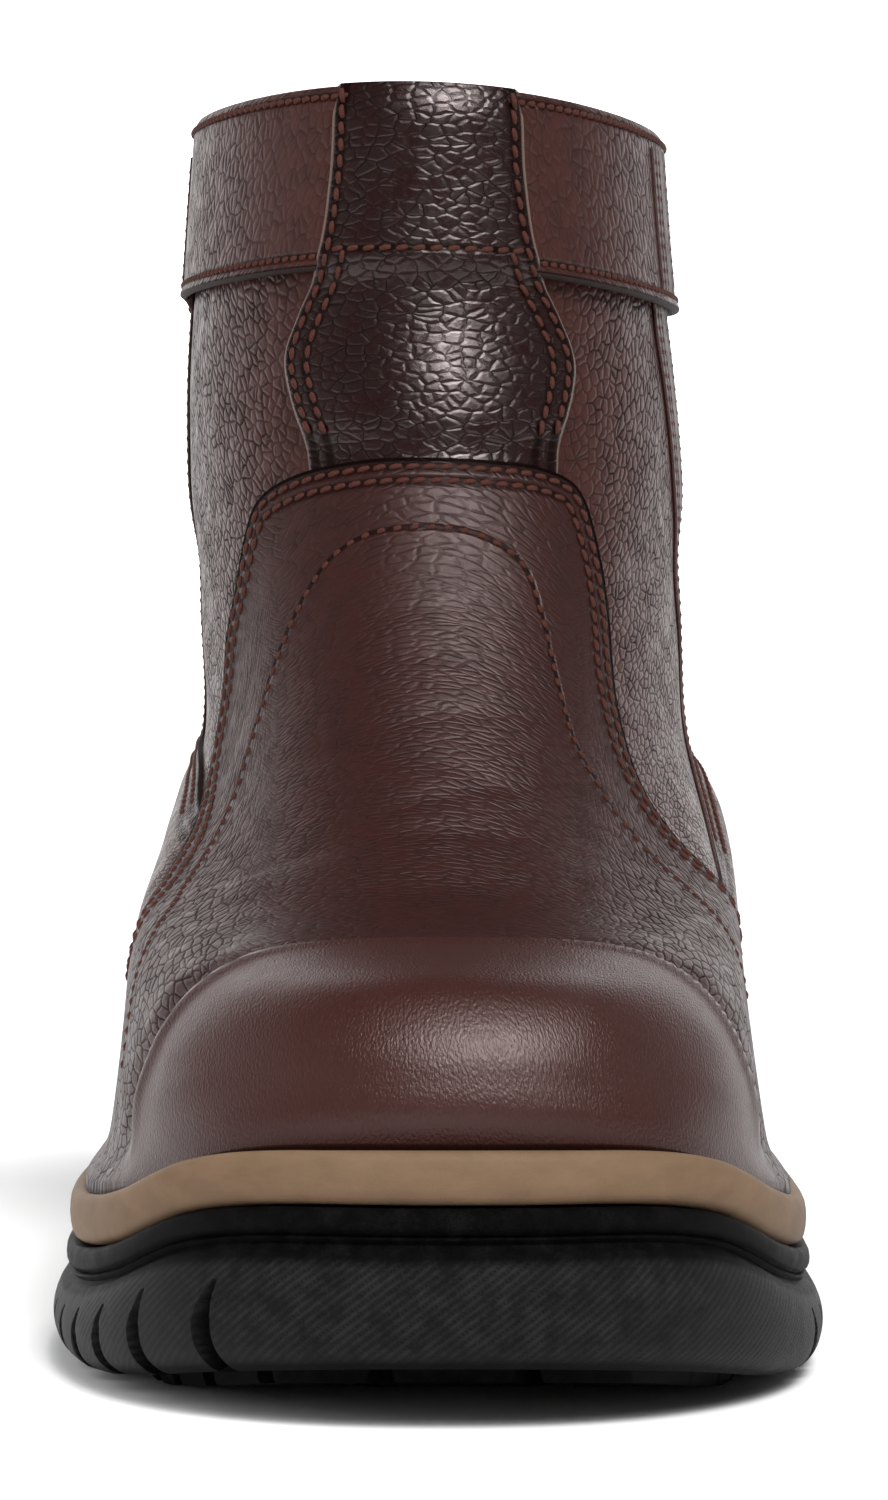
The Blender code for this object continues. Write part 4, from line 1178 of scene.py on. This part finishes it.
# Rib crests are painted lighter as a painted highlight
dust_and_rib_highlight = add("Math", {0: ribs, 1: 1.15, 2: dust_and_rib_highlight}, operation="MULTIPLY_ADD")
rib_highlight_and_dust_tone = add("MapRange", {"Value": dust_and_rib_highlight, "From Min": 0.95, "From Max": 1.8})
dull = add("MapRange", {"Value": dust, "From Min": 0.3, "From Max": 0.7, "To Min": 0.46, "To Max": 0.62})
sheen = add("MapRange", {"Value": rib_zone, "From Max": 0.6, "To Min": 0.04, "To Max": 0.12})
two_tone(add, shader, rib_highlight_and_dust_tone, "#020202", "#212122", relief, 0.2)
wire(shader, Specular_IOR_Level=sheen, Roughness=dull)

sole_rings = []
for out, share in BUMPER:
    height = functools.partial(bumper_height, share=share)
    sole_rings.append(sole_ring(bowed_turns(share), out - groove_cut(share), height))
for out, below in RIM:
    sole_rings.append(sole_ring(sole_turns, out, lambda d, b=below: outsole_top(d) - b))
tread_points, tread_faces = add_tread(sole_rings)
numbers, sole_faces = ring_faces(sole_rings)
sole_faces += rung_faces(numbers[-1], False) + tread_faces
sole_points = np.concatenate(sole_rings + [np.array(tread_points)])
outsole = add_mesh("outsole_rubber", sole_points, sole_faces, black_rubber, 40)

# The ribs run along the side by distance from the toe and by height, and stop at the grooves
side_lay = np.zeros((len(sole_points), 3))
ribbed = np.zeros(len(sole_points))
for i, ring in enumerate(sole_rings):
    here = list(numbers[i])
    along = run
    if i < len(BUMPER):
        share = BUMPER[i][1]
        along = run - groove_bow(share)
        uncut = 1 - groove_cut(share) / GROOVE_DEPTH
        ribbed[here] = 0.6 * ease(share, 0.03, 0.12) * ease(share, 0.93, 0.84) * uncut
    side_lay[here, 0] = np.where(inner_side, 1, -1) * both_sides(along) * MM
    side_lay[here, 1] = ring[:, 2] * MM
set_attribute(outsole, "lay", side_lay)
set_attribute(outsole, "ribbed", ribbed)
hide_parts("outsole")
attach(outsole, "root")


# Studio: a pale floor that runs out of sight, soft light from high in front with a fill from the left,
# and a long lens in front of the toe at ankle height.
FLOOR_SIZE = 12.0
CAMERA_AWAY, CAMERA_HEIGHT, CAMERA_SIDE = 800.0, 120.0, 1.3
LENS_PX, HORIZON_PX, FRAME_PX = 5912.0, 553.0, 1500.0
SENSOR = 36.0
bpy.ops.object.select_all(action="DESELECT")
bpy.ops.mesh.primitive_plane_add(size=FLOOR_SIZE)
floor = bpy.context.object
floor.name = "studio_floor"
# Matt white paper: an even pale ground without a shine
PAPER = hex_colour("#f9f9f9")
paper = new_material("studio_paper", Roughness=0.9, Specular_IOR_Level=0.1, Base_Color=PAPER)[0]
floor.data.materials.append(paper)

# The main light is wide and soft, high in front and a little to the right, and brighter in its middle.
# A broad fill from the left lights the leather but not its shine. All are far off, so the floor is even
LIGHTS = (("front_sky", 2.4, 44, 54, 24), ("front_key", 2.0, 20, 54, 24), ("left_fill", 1.7, 80, 25, -78))
for name, energy, angle, above, right in LIGHTS:
    lamp = bpy.data.lights.new(name, "SUN")
    lamp.energy = energy
    lamp.angle = math.radians(angle)
    light = bpy.data.objects.new(name, lamp)
    light.rotation_euler = (math.radians(90 - above), 0.0, math.radians(right))
    light.visible_glossy = name != "left_fill"
    bpy.context.scene.collection.objects.link(light)

# The studio's walls are pale behind the boot, dimmer at its sides and in front, and a little brighter on
# the left, and the ceiling is dark
WALL_TOP, DARK_FROM = math.sin(math.radians(14)), math.sin(math.radians(52))
world = bpy.data.worlds.new("studio_air")
world.use_nodes = True
air = world.node_tree.nodes["Background"]
add = functools.partial(add_node, world.node_tree)
way = add("TexCoord", output="Generated")
glows = []
for axis, start, end, low, high in (
    ("Z", WALL_TOP, DARK_FROM, 1.0, 0.12), ("Y", -0.8, 0.0, 0.15, 0.42), ("Y", 0.6, 0.92, 0.0, 1.9),
    ("X", -0.9, 0.6, 1.15, 0.6),
):
    value = add("SeparateXYZ", {"Vector": way}, axis)
    span = {"From Min": start, "From Max": end, "To Min": low, "To Max": high}
    glows.append(add("MapRange", {"Value": value, **span}, interpolation_type="SMOOTHSTEP"))
below_ceiling, side_walls, rear_wall, leftward = glows
glow = add("Math", {0: side_walls, 1: leftward, 2: rear_wall}, operation="MULTIPLY_ADD")
glow = add("Math", {0: below_ceiling, 1: glow}, operation="MULTIPLY")
air.inputs["Color"].default_value = (1.0, 1.0, 1.0, 1.0)
wire(air, Strength=glow)
bpy.context.scene.world = world
bpy.context.scene.view_settings.view_transform = "Standard"

lens = bpy.data.cameras.new("camera")
lens.sensor_width = SENSOR
lens.lens = LENS_PX / FRAME_PX * SENSOR
camera = bpy.data.objects.new("camera", lens)
camera.location = (CAMERA_SIDE * MM, -(SOLE_LENGTH / 2 + CAMERA_AWAY) * MM, CAMERA_HEIGHT * MM)
camera.rotation_euler = (math.pi / 2 - math.atan((FRAME_PX / 2 - HORIZON_PX) / LENS_PX), 0.0, 0.0)
bpy.context.scene.collection.objects.link(camera)
bpy.context.scene.camera = camera
